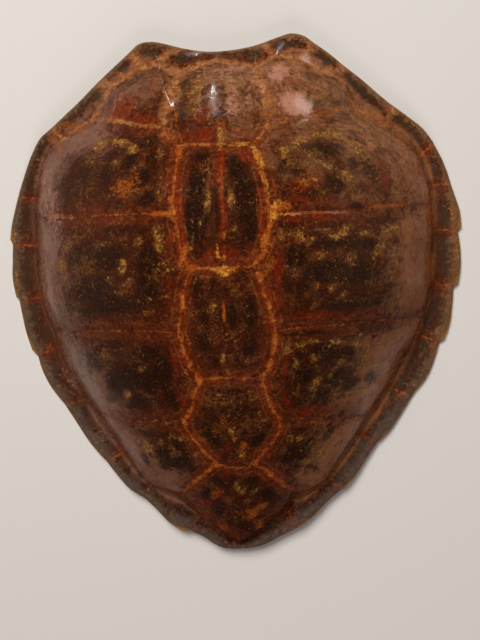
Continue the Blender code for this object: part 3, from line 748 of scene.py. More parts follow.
# %% Dark clouds
DARK_CLOUDS = (
    (162, 124, 9, 4.5, 0, 1.5),
    # nuchal and first vertebral
    (-56, 330, 18, 6, 150, 0.9), (46, 331, 20, 6, 20, 0.8), (-46, 291, 10, 6, 60, 0.8),
    (-27, 303, 12, 5, 20, 0.7), (-47, 247, 14, 6, 85, 0.7), (-8, 260, 12, 5, 80, 0.4),
    (50, 254, 14, 4, 100, 0.5), (-18, 268, 14, 5, 70, 0.5),
    # second vertebral
    (-29, 122, 38, 13, 88, 1.3), (-27, 160, 16, 11, 80, 1.1), (-22, 192, 11, 8, 20, 1.0),
    (-32, 176, 8, 5, 60, 0.8), (31, 138, 34, 13, 92, 1.3), (20, 176, 16, 10, 110, 1.1),
    (35, 104, 18, 9, 84, 1.1), (14, 168, 14, 4, 92, 0.7), (-26, 80, 12, 8, 80, 0.7),
    (24, 84, 12, 6, 100, 0.6), (-3, 124, 24, 4, 90, 0.9), (-40, 92, 14, 4, 75, 0.7),
    # third vertebral
    (-32, 38, 16, 8, 80, 0.9), (22, 50, 8, 12, 90, 0.8), (9, 4, 17, 6, 88, 1.0), (29, 5, 22, 9, 85, 0.95),
    (-26, 6, 20, 8, 100, 0.7), (-28, -28, 16, 8, 100, 0.8), (27, -38, 16, 9, 80, 0.85),
    (-12, 40, 12, 5, 80, 0.7), (-18, -58, 12, 6, 60, 0.6), (18, -62, 12, 6, 120, 0.6),
    # fourth vertebral
    (-27, -123, 14, 8, 110, 0.7), (-33, -150, 16, 8, 100, 0.95), (-20, -162, 12, 8, 60, 0.9),
    (30, -164, 14, 9, 70, 0.95), (28, -125, 9, 6, 60, 0.8), (0, -94, 22, 5, 0, 0.8),
    (10, -120, 12, 6, 30, 0.7), (-10, -118, 10, 6, 100, 0.6), (12, -152, 10, 6, 90, 0.6),
    (44, -146, 14, 4, 100, 0.6), (-46, -140, 14, 4, 80, 0.6), (-14, -190, 9, 6, 60, 0.6),
    # fifth vertebral
    (-9, -274, 16, 6, 90, 0.6), (-30, -279, 14, 7, 70, 0.9), (-15, -298, 14, 7, 60, 0.6),
    (8, -311, 12, 7, 100, 0.9), (36, -255, 14, 8, 60, 0.95), (42, -260, 10, 6, 60, 0.9),
    (16, -229, 12, 7, 20, 0.85), (-30, -226, 16, 7, 140, 0.8), (-44, -250, 14, 8, 50, 0.75),
    (-6, -225, 12, 6, 90, 0.7), (50, -268, 12, 5, 130, 0.7), (12, -290, 9, 5, 90, 0.6),
    (-4, -296, 36, 4, 90, 1.0),
    # first costals
    (-112, 300, 22, 6, 35, 0.85), (-92, 288, 10, 6, 60, 0.5), (-148, 268, 14, 8, 50, 0.5),
    (116, 290, 18, 7, 160, 0.9), (116, 256, 18, 7, 165, 0.8), (140, 258, 12, 6, 150, 0.7),
    (-84, 306, 12, 5, 20, 0.5), (150, 280, 14, 8, 130, 0.6),
    # second costals
    (-109, 192, 14, 8, 30, 1.0), (-94, 170, 14, 10, 60, 1.0), (-89, 143, 14, 9, 20, 1.0),
    (-88, 214, 16, 8, 20, 0.8), (-176, 178, 20, 14, 70, 0.5), (-138, 200, 16, 5, 10, 0.7),
    (-142, 176, 12, 12, 60, 0.7), (-130, 138, 20, 6, 0, 0.7), (-178, 148, 22, 12, 80, 0.4),
    (-196, 196, 20, 12, 70, 0.2), (-82, 190, 14, 6, 90, 0.7), (125, 195, 30, 12, 176, 1.0),
    (75, 176, 12, 8, 80, 0.9), (136, 152, 16, 9, 160, 0.95), (96, 166, 14, 8, 150, 0.8),
    (182, 170, 18, 12, 110, 0.8), (198, 188, 14, 12, 110, 0.4), (110, 142, 16, 6, 0, 0.7),
    (160, 178, 12, 8, 120, 0.8), (170, 146, 18, 8, 0, 0.6), (96, 218, 16, 4, 10, 0.6),
    (82, 148, 14, 6, 30, 0.6), (168, 214, 14, 6, 160, 0.6),
    # third costals
    (-88, 68, 22, 14, 80, 1.0), (-168, 38, 34, 18, 10, 0.95), (-92, 38, 18, 14, 90, 1.0),
    (-138, 20, 32, 12, 0, 0.95), (-140, 76, 26, 16, 20, 0.9), (-180, 80, 28, 14, 20, 0.7),
    (-122, 110, 26, 7, 0, 0.7), (-200, 20, 22, 14, 60, 0.6), (-90, 108, 12, 5, 20, 0.6),
    (-108, 24, 22, 12, 10, 0.9), (-170, 10, 30, 10, 0, 0.7), (-190, 110, 26, 6, 0, 0.5),
    (86, 68, 14, 12, 80, 1.0), (120, 50, 34, 14, 10, 1.0), (162, 45, 34, 13, 5, 1.0),
    (128, 82, 26, 7, 0, 0.9), (168, 78, 22, 8, 0, 0.85), (206, 40, 18, 14, 70, 0.5),
    (94, 32, 12, 8, 60, 0.9), (150, 8, 40, 9, 0, 0.85), (80, 106, 14, 5, 0, 0.8), (130, 106, 26, 4, 0, 0.7),
    (196, 106, 30, 5, 0, 0.7), (192, 14, 22, 10, 0, 0.4), (76, 40, 12, 7, 90, 0.7),
    (216, 78, 12, 10, 90, 0.3),
    # fourth costals
    (-79, -72, 24, 8, 80, 1.0), (-96, -77, 28, 12, 60, 1.0), (-124, -74, 24, 18, 40, 1.0),
    (-150, -86, 24, 18, 40, 0.9), (-100, -44, 26, 10, 0, 0.9), (-180, -60, 26, 16, 60, 0.7),
    (-120, -112, 24, 10, 15, 0.9), (-160, -110, 18, 10, 30, 0.7), (-76, -104, 18, 8, 110, 0.8),
    (-206, -60, 20, 12, 70, 0.5), (-152, -32, 32, 7, 0, 0.6), (137, -90, 20, 14, 30, 1.0),
    (90, -80, 14, 14, 80, 0.9), (132, -56, 20, 8, 10, 0.95), (150, -102, 18, 10, 30, 0.9),
    (163, -134, 16, 6, 20, 0.45), (96, -25, 32, 4, 0, 0.9), (118, -48, 18, 6, 0, 0.85),
    (180, -70, 12, 9, 100, 0.35), (150, -60, 12, 9, 60, 0.8), (180, -100, 12, 12, 60, 0.8),
    (120, -106, 14, 8, 20, 0.7), (84, -54, 14, 6, 60, 0.7), (206, -50, 16, 12, 100, 0.25),
    (186, -30, 26, 6, 170, 0.5), (90, -116, 12, 5, 30, 0.6),
    # fifth costals
    (-73, -199, 20, 12, 40, 1.0), (-95, -203, 16, 12, 60, 1.0), (-74, -174, 16, 8, 110, 0.95),
    (-100, -190, 14, 10, 60, 0.9), (-120, -160, 22, 7, 10, 0.8), (-128, -205, 14, 8, 110, 0.8),
    (-94, -160, 16, 5, 0, 0.7), (-60, -212, 12, 8, 130, 0.7), (71, -194, 16, 10, 60, 1.0),
    (86, -194, 14, 9, 60, 1.0), (98, -178, 12, 6, 20, 0.85), (120, -172, 14, 8, 50, 0.85),
    (100, -222, 14, 7, 130, 0.8), (78, -212, 12, 6, 60, 0.8), (66, -168, 10, 6, 110, 0.7),
    (90, -156, 18, 4, 0, 0.7),
    # marginals
    (-96, 336, 20, 6, 170, 0.8), (-137, 322, 18, 7, 140, 0.9), (-172, 290, 24, 7, 135, 0.9),
    (-215, 258, 24, 5, 145, 0.7), (-252, 218, 20, 5, 125, 0.6), (-279, 178, 26, 4, 108, 0.6),
    (-290, 126, 18, 5, 95, 0.9), (-291, 60, 24, 7, 90, 1.0), (-286, -8, 22, 7, 82, 1.0),
    (-272, -40, 20, 5, 76, 0.8), (-262, -88, 26, 5, 70, 0.95), (-230, -139, 26, 6, 60, 0.95),
    (-196, -188, 28, 6, 56, 0.7), (-148, -243, 22, 5, 55, 0.9), (-130, -266, 14, 4, 45, 0.8),
    (-76, -309, 18, 6, 30, 0.8), (-36, -335, 18, 5, 20, 0.6), (82, 336, 18, 6, 10, 0.9),
    (118, 327, 14, 6, 130, 0.7), (136, 312, 16, 7, 40, 0.9), (178, 278, 28, 7, 140, 0.9),
    (226, 238, 20, 6, 138, 0.7), (258, 210, 18, 6, 130, 0.7), (282, 160, 26, 6, 108, 0.7),
    (289, 104, 24, 7, 95, 0.95), (290, 52, 28, 7, 90, 1.0), (272, -18, 14, 6, 75, 1.0),
    (264, -34, 14, 6, 70, 0.9), (282, -30, 14, 5, 80, 0.8), (260, -70, 20, 8, 70, 0.95),
    (240, -100, 16, 5, 60, 0.6), (224, -125, 22, 6, 58, 0.95), (203, -174, 20, 6, 56, 0.9),
    (170, -208, 22, 5, 55, 0.9), (142, -244, 16, 5, 55, 0.9), (100, -292, 22, 5, 40, 0.8),
    (44, -332, 24, 5, 25, 0.7),
)
print("dark clouds:", len(DARK_CLOUDS))

# %% Red clouds
RED_CLOUDS = (
    (98, 152, 26, 9, 10, 0.9), (200, 162, 30, 9, 100, 0.8), (198, 212, 12, 8, 150, 0.6),
    (128, 232, 34, 5, 12, 0.5), (-128, 262, 30, 18, 25, 0.9), (-90, 238, 18, 12, -20, 0.8),
    (-24, 245, 18, 12, 80, 0.8), (-21, 218, 18, 10, 20, 0.9), (-40, 215, 14, 8, 30, 0.8),
    (24, 218, 18, 8, 160, 0.5), (39, 334, 16, 5, 20, 0.6), (1, 180, 26, 6, 90, 1.2),
    (2, 118, 34, 7, 90, 1.1), (0, 76, 30, 12, 0, 0.9), (-46, 120, 40, 4, 92, 0.9),
    (46, 120, 44, 5, 96, 1.0), (-34, 205, 10, 5, 0, 0.6), (30, 190, 12, 8, 130, 1.0),
    (-8, 162, 12, 5, 80, 0.7), (-35, 175, 14, 4, 60, 0.7), (-24, 76, 12, 8, 80, 0.6),
    (26, 72, 12, 6, 100, 0.7), (-23, 53, 10, 2, 0, 0.8), (-49, 194, 14, 6, 100, 0.9),
    (-54, 145, 22, 5, 92, 0.9), (-48, 80, 22, 6, 70, 0.9), (49, 170, 22, 5, 105, 0.9),
    (66, 58, 18, 9, 80, 1.0), (55, 18, 20, 6, 100, 0.95), (56, -6, 16, 7, 90, 0.9),
    (-50, 16, 24, 6, 95, 0.8), (-53, -47, 18, 6, 70, 0.9), (-39, -73, 9, 6, 40, 0.9),
    (-10, -31, 9, 5, 80, 0.7), (8, -34, 9, 4, 90, 0.7), (54, -50, 22, 6, 80, 0.9),
    (-44, -90, 14, 5, 70, 0.8), (-55, -122, 18, 5, 65, 0.8), (-59, -156, 16, 5, 115, 0.9),
    (-45, -172, 14, 5, 130, 0.9), (45, -96, 14, 5, 105, 0.8), (51, -118, 16, 5, 110, 0.8),
    (56, -136, 10, 6, 60, 0.9), (56, -160, 16, 5, 70, 0.9), (30, -190, 14, 6, 50, 0.9),
    (-10, -140, 9, 5, 60, 0.8), (-24, -151, 6, 4, 0, 0.6), (-10, -174, 8, 6, 90, 0.9),
    (24, -182, 10, 5, 50, 0.7), (-12, -190, 14, 5, 170, 0.8), (29, -204, 10, 6, 60, 0.8),
    (-48, -222, 20, 7, 40, 0.9), (48, -228, 22, 7, 130, 1.0), (66, -256, 16, 7, 120, 0.9),
    (-15, -212, 9, 5, 90, 0.9), (-28, -250, 12, 6, 60, 0.9), (-15, -262, 8, 5, 90, 0.8),
    (28, -270, 12, 6, 60, 0.8), (-46, -271, 10, 7, 60, 0.8), (-56, -265, 10, 7, 60, 0.6),
    (10, -284, 10, 6, 120, 0.8), (-66, -240, 12, 7, 40, 0.6), (-50, -296, 18, 8, 140, 0.6),
    (-90, 312, 16, 5, 20, 0.6), (-89, 286, 10, 8, 90, 0.6), (-113, 266, 16, 6, 30, 0.8),
    (-113, 248, 26, 6, 170, 0.9), (-76, 262, 8, 22, 0, 0.5), (84, 288, 26, 12, 140, 0.5),
    (74, 258, 6, 22, 0, 0.8), (96, 281, 18, 5, 160, 0.8), (110, 240, 34, 6, 10, 0.8),
    (-97, 190, 9, 6, 0, 0.4), (-62, 150, 4, 26, 0, 0.6), (-150, 134, 34, 7, 0, 0.5),
    (-120, 118, 44, 6, 0, 0.55), (-160, 122, 30, 5, 0, 0.35), (100, 134, 36, 5, 0, 0.7),
    (110, 112, 44, 5, 0, 0.8), (190, 112, 40, 5, 0, 0.5), (150, 128, 30, 4, 0, 0.6),
    (62, 88, 5, 20, 0, 0.6), (-62, 90, 4, 28, 0, 0.7), (-64, 30, 5, 30, 0, 0.8), (-110, 30, 10, 6, 60, 0.7),
    (-98, -4, 30, 6, 0, 0.35), (-160, -8, 44, 5, 0, 0.2), (94, 32, 16, 3, 100, 0.7),
    (110, -2, 34, 7, 0, 0.9), (164, 12, 16, 3, 170, 0.6), (170, -8, 40, 5, 0, 0.6), (66, 30, 5, 30, 0, 0.7),
    (-100, -24, 34, 5, 0, 0.3), (-66, -50, 5, 26, 5, 0.8), (-62, -102, 5, 24, 20, 0.8),
    (70, -60, 5, 24, 170, 0.8), (66, -106, 6, 22, 20, 0.8), (100, -132, 32, 7, 172, 1.0),
    (140, -140, 26, 6, 165, 0.6), (-110, -132, 36, 6, 10, 0.25), (-170, -140, 34, 6, 0, 0.35),
    (105, -150, 14, 4, 170, 0.7), (-66, -150, 12, 4, 150, 0.6), (-54, -232, 14, 6, 40, 0.7),
    (60, -228, 16, 5, 130, 0.6), (-230, 180, 34, 26, 80, 0.3), (-238, 90, 40, 22, 85, 0.3),
    (-236, 0, 40, 16, 80, 0.35), (236, 160, 40, 18, 110, 0.5), (246, 70, 44, 14, 90, 0.7),
    (240, -10, 30, 14, 80, 0.6), (222, -70, 34, 14, 70, 0.6), (180, -130, 34, 10, 55, 0.5),
    (140, -190, 38, 10, 55, 0.5), (-222, -80, 40, 12, 70, 0.45), (-180, -150, 40, 12, 60, 0.5),
    (-150, -210, 36, 12, 58, 0.4), (-110, -248, 20, 8, 20, 0.4), (90, -256, 26, 8, 150, 0.5),
    (274, 12, 12, 7, 85, 1.0), (238, -106, 18, 6, 60, 0.9), (191, -146, 12, 8, 60, 0.8),
    (190, -189, 10, 6, 60, 0.9), (129, -265, 14, 5, 50, 0.8), (111, -268, 10, 5, 50, 0.8),
    (66, -310, 26, 5, 40, 0.9), (-244, -97, 26, 4, 68, 0.9), (-233, -118, 20, 4, 60, 0.8),
    (-182, -208, 30, 4, 56, 0.9), (-126, -256, 16, 4, 40, 0.7), (-264, 100, 40, 6, 88, 0.5),
    (272, 84, 30, 4, 90, 0.6), (256, 170, 22, 5, 108, 0.6), (-256, 180, 26, 5, 70, 0.6),
)
print("red clouds:", len(RED_CLOUDS))

# %% Orange clouds
ORANGE_CLOUDS = (
    (-115, 160, 22, 12, 15, 0.7), (-104, 168, 12, 7, 60, 0.55), (2, 150, 44, 3, 90, 0.6),
    (-56, 252, 3, 22, 8, 0.7), (-44, 212, 12, 4, 130, 0.6), (-49, 200, 10, 5, 100, 0.9),
    (-59, 143, 6, 4, 90, 0.9), (-58, 125, 8, 6, 60, 1.0), (-72, 126, 16, 3, 0, 0.9),
    (-46, 76, 14, 4, 70, 0.9), (-38, 61, 7, 5, 0, 1.0), (-55, 100, 14, 3, 80, 0.7),
    (44, 47, 9, 5, 100, 0.8), (67, 126, 18, 9, 10, 0.8), (50, 84, 18, 5, 78, 1.0),
    (57, 108, 12, 4, 80, 0.9), (56, 60, 10, 6, 70, 0.7), (55, -42, 10, 4, 80, 0.9),
    (57, -30, 10, 4, 90, 0.9), (50, -62, 10, 4, 70, 0.9), (40, -77, 6, 5, 0, 0.9), (54, 6, 20, 3, 100, 0.7),
    (-49, 22, 12, 3, 100, 0.8), (-54, -28, 12, 3, 80, 0.8), (-37, -77, 6, 5, 0, 1.0),
    (-48, -60, 12, 3, 65, 0.7), (0, 4, 18, 1.5, 92, 0.9), (0, -70, 6, 3, 90, 0.8), (0, -75, 12, 2, 0, 0.4),
    (-3, -150, 6, 5, 90, 0.7), (-12, -134, 6, 4, 60, 0.7), (11, -172, 9, 5, 70, 0.7),
    (8, -186, 7, 5, 90, 0.9), (0, -158, 12, 2, 90, 0.6), (-29, -203, 7, 5, 30, 1.0),
    (-38, -212, 10, 3, 40, 0.9), (-54, -227, 12, 3, 42, 0.9), (-70, -244, 10, 3, 50, 0.5),
    (42, -219, 14, 3, 130, 1.0), (56, -237, 14, 3, 125, 0.9), (67, -252, 10, 3, 125, 0.8),
    (26, -200, 8, 4, 60, 0.8), (-4, -206, 22, 2, 0, 0.6), (-34, -252, 12, 7, 50, 0.6),
    (28, -276, 12, 6, 20, 0.8), (10, -284, 9, 4, 110, 0.7), (-56, -298, 16, 7, 120, 0.5),
    (-44, -268, 9, 5, 60, 0.5), (16, -286, 15, 8, 60, 0.75), (24, -312, 12, 7, 110, 0.6),
    (-30, -308, 12, 6, 60, 0.4), (-53, -122, 14, 2.5, 65, 0.8), (-62, -140, 9, 3, 90, 0.8),
    (52, -122, 14, 2.5, 112, 0.7), (58, -142, 9, 3, 90, 0.7), (-46, -92, 12, 2.5, 68, 0.7),
    (38, -182, 8, 3, 50, 0.8), (-40, -183, 14, 3, 125, 0.7), (105, -151, 12, 2, 170, 0.7),
    (94, 32, 15, 2.5, 100, 0.4), (110, 34, 5, 3, 90, 0.7), (86, 48, 7, 3, 30, 0.7),
    (114, 70, 12, 4, 20, 0.4), (-92, 10, 14, 4, 10, 0.5), (-100, -4, 14, 3, 0, 0.5),
    (-140, 128, 44, 1.5, 178, 0.5), (-220, 130, 26, 3, 178, 0.7), (204, 123, 32, 2.5, 2, 0.9),
    (110, 119, 30, 2, 178, 0.8), (270, 92, 16, 4, 70, 0.8), (251, -45, 16, 3, 70, 0.8),
    (243, -68, 14, 3, 65, 0.8), (222, -140, 10, 3, 40, 0.6), (186, -166, 12, 3, 50, 0.8),
    (90, -281, 12, 3, 40, 0.7), (-270, 24, 14, 3, 90, 0.8), (-265, -4, 14, 3, 82, 0.7),
    (-267, -52, 10, 3, 60, 0.7), (-249, -61, 12, 3, 70, 0.7), (-228, 226, 22, 5, 140, 0.7),
    (-200, 246, 26, 6, 155, 0.7), (-170, 262, 16, 6, 130, 0.5), (-130, 308, 22, 4, 152, 0.6),
    (-246, 206, 16, 5, 120, 0.5), (230, 208, 22, 6, 138, 0.6), (250, 170, 20, 5, 112, 0.6),
    (200, 240, 24, 5, 150, 0.5), (140, 300, 24, 4, 25, 0.5), (264, 140, 18, 4, 100, 0.7),
    (240, 232, 14, 3, 45, 0.5), (-100, 325, 20, 3, 170, 0.5), (182, 150, 22, 10, 100, 0.4),
    (176, -42, 20, 12, 10, 0.35), (182, 52, 20, 14, 80, 0.3), (-2, -286, 16, 9, 90, 0.5),
    (104, 162, 18, 8, 20, 0.55), (266, 112, 18, 6, 88, 0.9), (266, 42, 24, 7, 90, 0.95),
    (2, 222, 18, 7, 90, 0.7), (-20, 232, 12, 8, 60, 0.4), (24, 222, 12, 5, 160, 0.4),
    (-113, 262, 14, 4, 30, 0.5), (96, 236, 24, 2.5, 5, 0.6), (-92, 236, 20, 2.5, 175, 0.6),
    (146, 246, 20, 3, 15, 0.6), (-142, 247, 20, 2.5, 165, 0.6),
)
print("orange clouds:", len(ORANGE_CLOUDS))

# %% Yellow and pale clouds, the pale ones partly painted sheen
YELLOW_CLOUDS = (
    (-26, 206, 15, 2, 178, 0.8), (24, 204, 18, 3, 177, 0.9), (41, 199, 6, 3, 120, 1.0),
    (46, 188, 15, 4, 112, 1.2), (52, 162, 16, 3, 108, 0.8), (56, 142, 12, 3, 100, 0.7),
    (67, 131, 9, 4, 25, 1.0), (61, 118, 8, 4, 70, 1.0), (77, 118, 10, 2.5, 175, 0.9),
    (60, 126, 6, 4, 60, 0.9), (-4, 77, 12, 1.6, 92, 1.0), (5, 77, 12, 1.6, 88, 1.0), (2, 56, 8, 6, 90, 1.2),
    (2, 57, 14, 3, 0, 1.1), (0, 60, 38, 1.2, 0, 0.7), (-58, 126, 5, 4, 0, 0.7), (-62, 60, 4, 3, 0, 0.7),
    (-6, -50, 7, 3, 85, 0.6), (8, -186, 5, 4, 90, 0.6), (-46, 74, 6, 2, 70, 0.5),
    (48, 86, 12, 2.5, 78, 0.7), (2, 68, 12, 3, 90, 0.7), (1, 200, 5, 5, 90, 0.6),
    (-47, 204, 5, 3, 140, 0.6), (56, -36, 7, 2, 85, 0.4), (134, -18, 11, 1.2, 175, 0.8),
)
# Pale clouds: the thin ones are pale horn, and the larger ones are painted sheen and painted reflection on
# the first vertebral, the first costals, the nuchal and both flanks.
PALE_AND_SHEEN_CLOUDS = (
    (8, 298, 58, 18, 0, 0.55), (-16, 264, 30, 22, 90, 0.45), (14, 280, 16, 10, 90, 0.8),
    (16, 256, 20, 11, 80, 0.8), (38, 270, 26, 7, 80, 0.5), (92, 254, 24, 16, 150, 1.1),
    (74, 296, 15, 11, 60, 1.2), (94, 296, 16, 8, 150, 0.5), (-134, 272, 24, 7, 60, 0.4),
    (-127, 192, 5, 4, 0, 0.5), (216, 62, 16, 10, 100, 0.4), (-12, -96, 9, 1.5, 0, 0.7),
    (38, -136, 9, 2, 170, 0.7), (-54, -187, 5, 3, 0, 0.6), (136, 118, 16, 2, 175, 0.7),
    (90, 119, 16, 1.5, 178, 0.7), (-216, 128, 30, 1.5, 176, 0.8), (-236, 150, 70, 20, 105, 0.55),
    (-246, 40, 70, 18, 90, 0.5), (-222, -66, 60, 16, 68, 0.45), (-190, -166, 60, 14, 58, 0.4),
    (240, 170, 60, 16, 112, 0.35), (250, 50, 70, 14, 90, 0.3), (226, -80, 60, 14, 66, 0.3),
    (160, -170, 60, 14, 55, 0.3), (-96, -139, 22, 1.5, 175, 0.5), (0, 343, 26, 4, 0, 0.5),
    (-96, 347, 16, 3, 175, 0.4), (96, 347, 16, 3, 5, 0.4),
)
print("yellow and pale clouds:", len(YELLOW_CLOUDS), "and", len(PALE_AND_SHEEN_CLOUDS))

# %% Paint the clouds on the mesh
OVAL_REACH = 1.5


def cloud_cover(ovals, x, y):
    """How strongly these ovals cover each point: 1 well inside the strongest, 0 outside all."""
    cover = np.zeros_like(x)
    for middle_x, middle_y, half_length, half_width, turn, strength in ovals:
        along_x, along_y = math.cos(math.radians(turn)), math.sin(math.radians(turn))
        dx, dy = x - middle_x * MM, y - middle_y * MM
        along = (dx * along_x + dy * along_y) / (half_length * MM)
        beside = (dy * along_x - dx * along_y) / (half_width * MM)
        cover = np.maximum(cover, strength * smooth_step(OVAL_REACH - np.hypot(along, beside)))
    return cover


def paint(name, values):
    """Keeps one value for each point of the mesh, under a name that the material can read."""
    attribute = carapace_mesh.attributes.new(name, "FLOAT", "POINT")
    attribute.data.foreach_set("value", np.asarray(values, dtype=np.float32))


places = np.empty(3 * len(carapace_mesh.vertices))
carapace_mesh.vertices.foreach_get("co", places)
vert_x, vert_y = places.reshape(-1, 3)[:, :2].T
for name, ovals in (
    ("gold", GOLD_DRIFTS),
    ("dark", DARK_CLOUDS),
    ("red", RED_CLOUDS),
    ("orange", ORANGE_CLOUDS),
    ("yellow", YELLOW_CLOUDS),
    ("pale_and_sheen", PALE_AND_SHEEN_CLOUDS),
):
    paint(name, cloud_cover(ovals, vert_x, vert_y))
print("painted points:", len(vert_x))

# %% [markdown]
# ## How each seam glows
# The seam lines between vertebral and costal scutes are broad and fiery, those between costals thin and
# dull, and the glow dies down at the tail. So each point also learns its distance to the nearest seam,
# how brightly that seam glows, and where it lies between the costals' foot (0) and the rim (1).

# %% Seam distance, glow and place on the margin
TAIL_GLOW, TAIL_GLOW_START, TAIL_GLOW_FADE = 0.35, -262 * MM, 34 * MM


def seam_glow(x, y):
    return np.array([glow_of_point[seam_tree.find((px, py, 0))[1]] for px, py in zip(x, y)])


vert_angle, vert_arm = polar(vert_x, vert_y)
vert_foot = FOOT(vert_angle)
vert_across = (vert_arm - vert_foot) / (RIM(vert_angle) - vert_foot)
vert_seam = seam_distance(vert_x, vert_y)
paint("seam_mm", vert_seam / MM)
tail_dim = TAIL_GLOW + (1 - TAIL_GLOW) * smooth_step((vert_y - TAIL_GLOW_START) / TAIL_GLOW_FADE)
paint("glow", seam_glow(vert_x, vert_y) * tail_dim)
paint("across", vert_across)
print("farthest point from a seam:", round(vert_seam.max() / MM), "mm")

# %% [markdown]
# ## Helpers for materials
# Colours are picked as sRGB hex values, as a paint program shows them, and Blender's sockets want linear
# light. The other helper adds one node, with its settings, values and links.

# %% Helpers for materials
def linear(hex_code):
    """An sRGB hex colour as linear light."""
    channels = [int(hex_code[index : index + 2], 16) / 255 for index in (1, 3, 5)]
    light = [c / 12.92 if c <= 0.04045 else ((c + 0.055) / 1.055) ** 2.4 for c in channels]
    return (*light, 1.0)


def add_node(tree, kind, inputs=(), **settings):
    """Adds a node with its settings, and sets or links its inputs."""
    node = tree.nodes.new(kind)
    for name, value in settings.items():
        setattr(node, name, value)
    for name, value in dict(inputs).items():
        if isinstance(value, bpy.types.NodeSocket):
            tree.links.new(value, node.inputs[name])
        else:
            node.inputs[name].default_value = value
    return node


def new_material(name):
    """A material, its node tree and its shader."""
    material = bpy.data.materials.new(name)
    material.use_nodes = True
    return material, material.node_tree, material.node_tree.nodes["Principled BSDF"]


print("dark horn in linear light:", [round(channel, 3) for channel in linear("#17100c")])

# %% [markdown]
# ## Varnished tortoiseshell horn
# The scutes are keratin, a clear amber horn with dark and red pigment in it, polished and varnished. An
# image wrapped over the mesh would carry its own light along and blur from close by. So the colour is
# built as the horn is, in layers: a red-brown ground, near-black scute middles, then the clouds, the
# golden flecks, a red halo and a fiery line along each seam. Each layer's edge is broken up by noise,
# because pigment in horn never ends in a clean line.

# %% Masks and noises for the horn
# Tortoiseshell horn gives the eye warm depths, with pale clouds over dark ones, under a wet gloss.
horn, horn_tree, horn_shader = new_material("varnished_tortoiseshell_horn")
horn_place = add_node(horn_tree, "ShaderNodeTexCoord").outputs["Object"]
MASKS = ("gold", "dark", "red", "orange", "yellow", "pale_and_sheen", "seam_mm", "glow", "across")
mask = {
    name: add_node(horn_tree, "ShaderNodeAttribute", attribute_name=name).outputs["Fac"] for name in MASKS
}

# Each noise: its size on the horn, detail, roughness, distortion.
HORN_NOISES = {
    "broad": (38 * MM, 3, 0.55, 0.4),
    "cloud": (13 * MM, 5, 0.6, 1.2),
    "ragged": (7 * MM, 4, 0.6, 0.8),
    "fleck": (6.5 * MM, 3, 0.55, 1.5),
    "grain": (3.6 * MM, 2, 0.5, 0.3),
    "curl": (13 * MM, 2, 0.5, 1.6),
}
grey = {}
for name, (size, detail, roughness, distortion) in HORN_NOISES.items():
    settings = {"Vector": horn_place, "Scale": 1 / size, "Detail": detail, "Roughness": roughness}
    settings["Distortion"] = distortion
    grey[name] = add_node(horn_tree, "ShaderNodeTexNoise", settings).outputs["Fac"]
print("masks:", ", ".join(mask), "- noises:", ", ".join(grey))

# %% [markdown]
# ## Streaks, curls and ragged edges
# Horn grows outwards from the middle of each scute, so its streaks run beside the seams. A noise whose
# third axis is the distance to the seam comes out thin away from the seam and long along it. Curls are
# the contour lines of a slow noise, so each is a thin looping thread.

# %% Streaks that run beside the seams, like growth rings
# Each streak: its width in millimetres, its length, distortion, detail.
RING_NOISES = {"ring": (3.2, 12 * MM, 0.7, 4), "flow": (7.0, 24 * MM, 1.8, 2)}
RING_ROUGHNESS = 0.55
RING_SHARE = 0.12
for name, (width_mm, length, distortion, detail) in RING_NOISES.items():
    inputs = {0: mask["seam_mm"], 1: 1 / width_mm}
    turns = add_node(horn_tree, "ShaderNodeMath", inputs, operation="MULTIPLY").outputs[0]
    inputs = {0: horn_place, "Scale": 1 / length}
    stretched = add_node(horn_tree, "ShaderNodeVectorMath", inputs, operation="SCALE").outputs[0]
    shift = add_node(horn_tree, "ShaderNodeCombineXYZ", {"Z": turns}).outputs[0]
    place = add_node(horn_tree, "ShaderNodeVectorMath", {0: stretched, 1: shift}, operation="ADD").outputs[0]
    settings = {"Vector": place, "Scale": 1.0, "Detail": detail, "Roughness": RING_ROUGHNESS}
    settings["Distortion"] = distortion
    grey[name] = add_node(horn_tree, "ShaderNodeTexNoise", settings).outputs["Fac"]
inputs = {0: RING_SHARE, 2: grey["fleck"], 3: grey["ring"]}
grey["curly"] = add_node(horn_tree, "ShaderNodeMix", inputs).outputs[0]
print("streaks:", ", ".join(RING_NOISES))


# %% Ragged covers, contours and bands
def ragged_cover(tree, amount, noise_value, ragged, start, end, most=1.0):
    """Where amount plus centred noise goes from start to end, the cover goes from 0 to most."""
    centred = add_node(tree, "ShaderNodeMath", {0: noise_value, 1: 0.5}, operation="SUBTRACT").outputs[0]
    inputs = {0: centred, 1: ragged, 2: amount}
    uneven = add_node(tree, "ShaderNodeMath", inputs, operation="MULTIPLY_ADD").outputs[0]
    inputs = {"Value": uneven, "From Min": start, "From Max": end, "To Max": most}
    return add_node(tree, "ShaderNodeMapRange", inputs, interpolation_type="SMOOTHSTEP").outputs[0]


def contour(tree, value, level, sharpness):
    """1 where the value has this level, falling off to both sides."""
    off = add_node(tree, "ShaderNodeMath", {0: value, 1: level}, operation="SUBTRACT").outputs[0]
    off = add_node(tree, "ShaderNodeMath", {0: off}, operation="ABSOLUTE").outputs[0]
    inputs = {0: off, 1: -sharpness, 2: 1.0}
    return add_node(tree, "ShaderNodeMath", inputs, operation="MULTIPLY_ADD").outputs[0]


def seam_band(tree, least_mm, glow_mm, wander=None):
    """1 on the seam, falling to 0 at a width that grows with the seam's glow."""
    inputs = {0: mask["glow"], 1: glow_mm, 2: least_mm}
    width = add_node(tree, "ShaderNodeMath", inputs, operation="MULTIPLY_ADD").outputs[0]
    if wander is not None:
        width = add_node(tree, "ShaderNodeMath", {0: width, 1: wander}, operation="MULTIPLY").outputs[0]
    inputs = {0: mask["seam_mm"], 1: width}
    share = add_node(tree, "ShaderNodeMath", inputs, operation="DIVIDE").outputs[0]
    return add_node(tree, "ShaderNodeMath", {0: 1.0, 1: share}, operation="SUBTRACT").outputs[0]


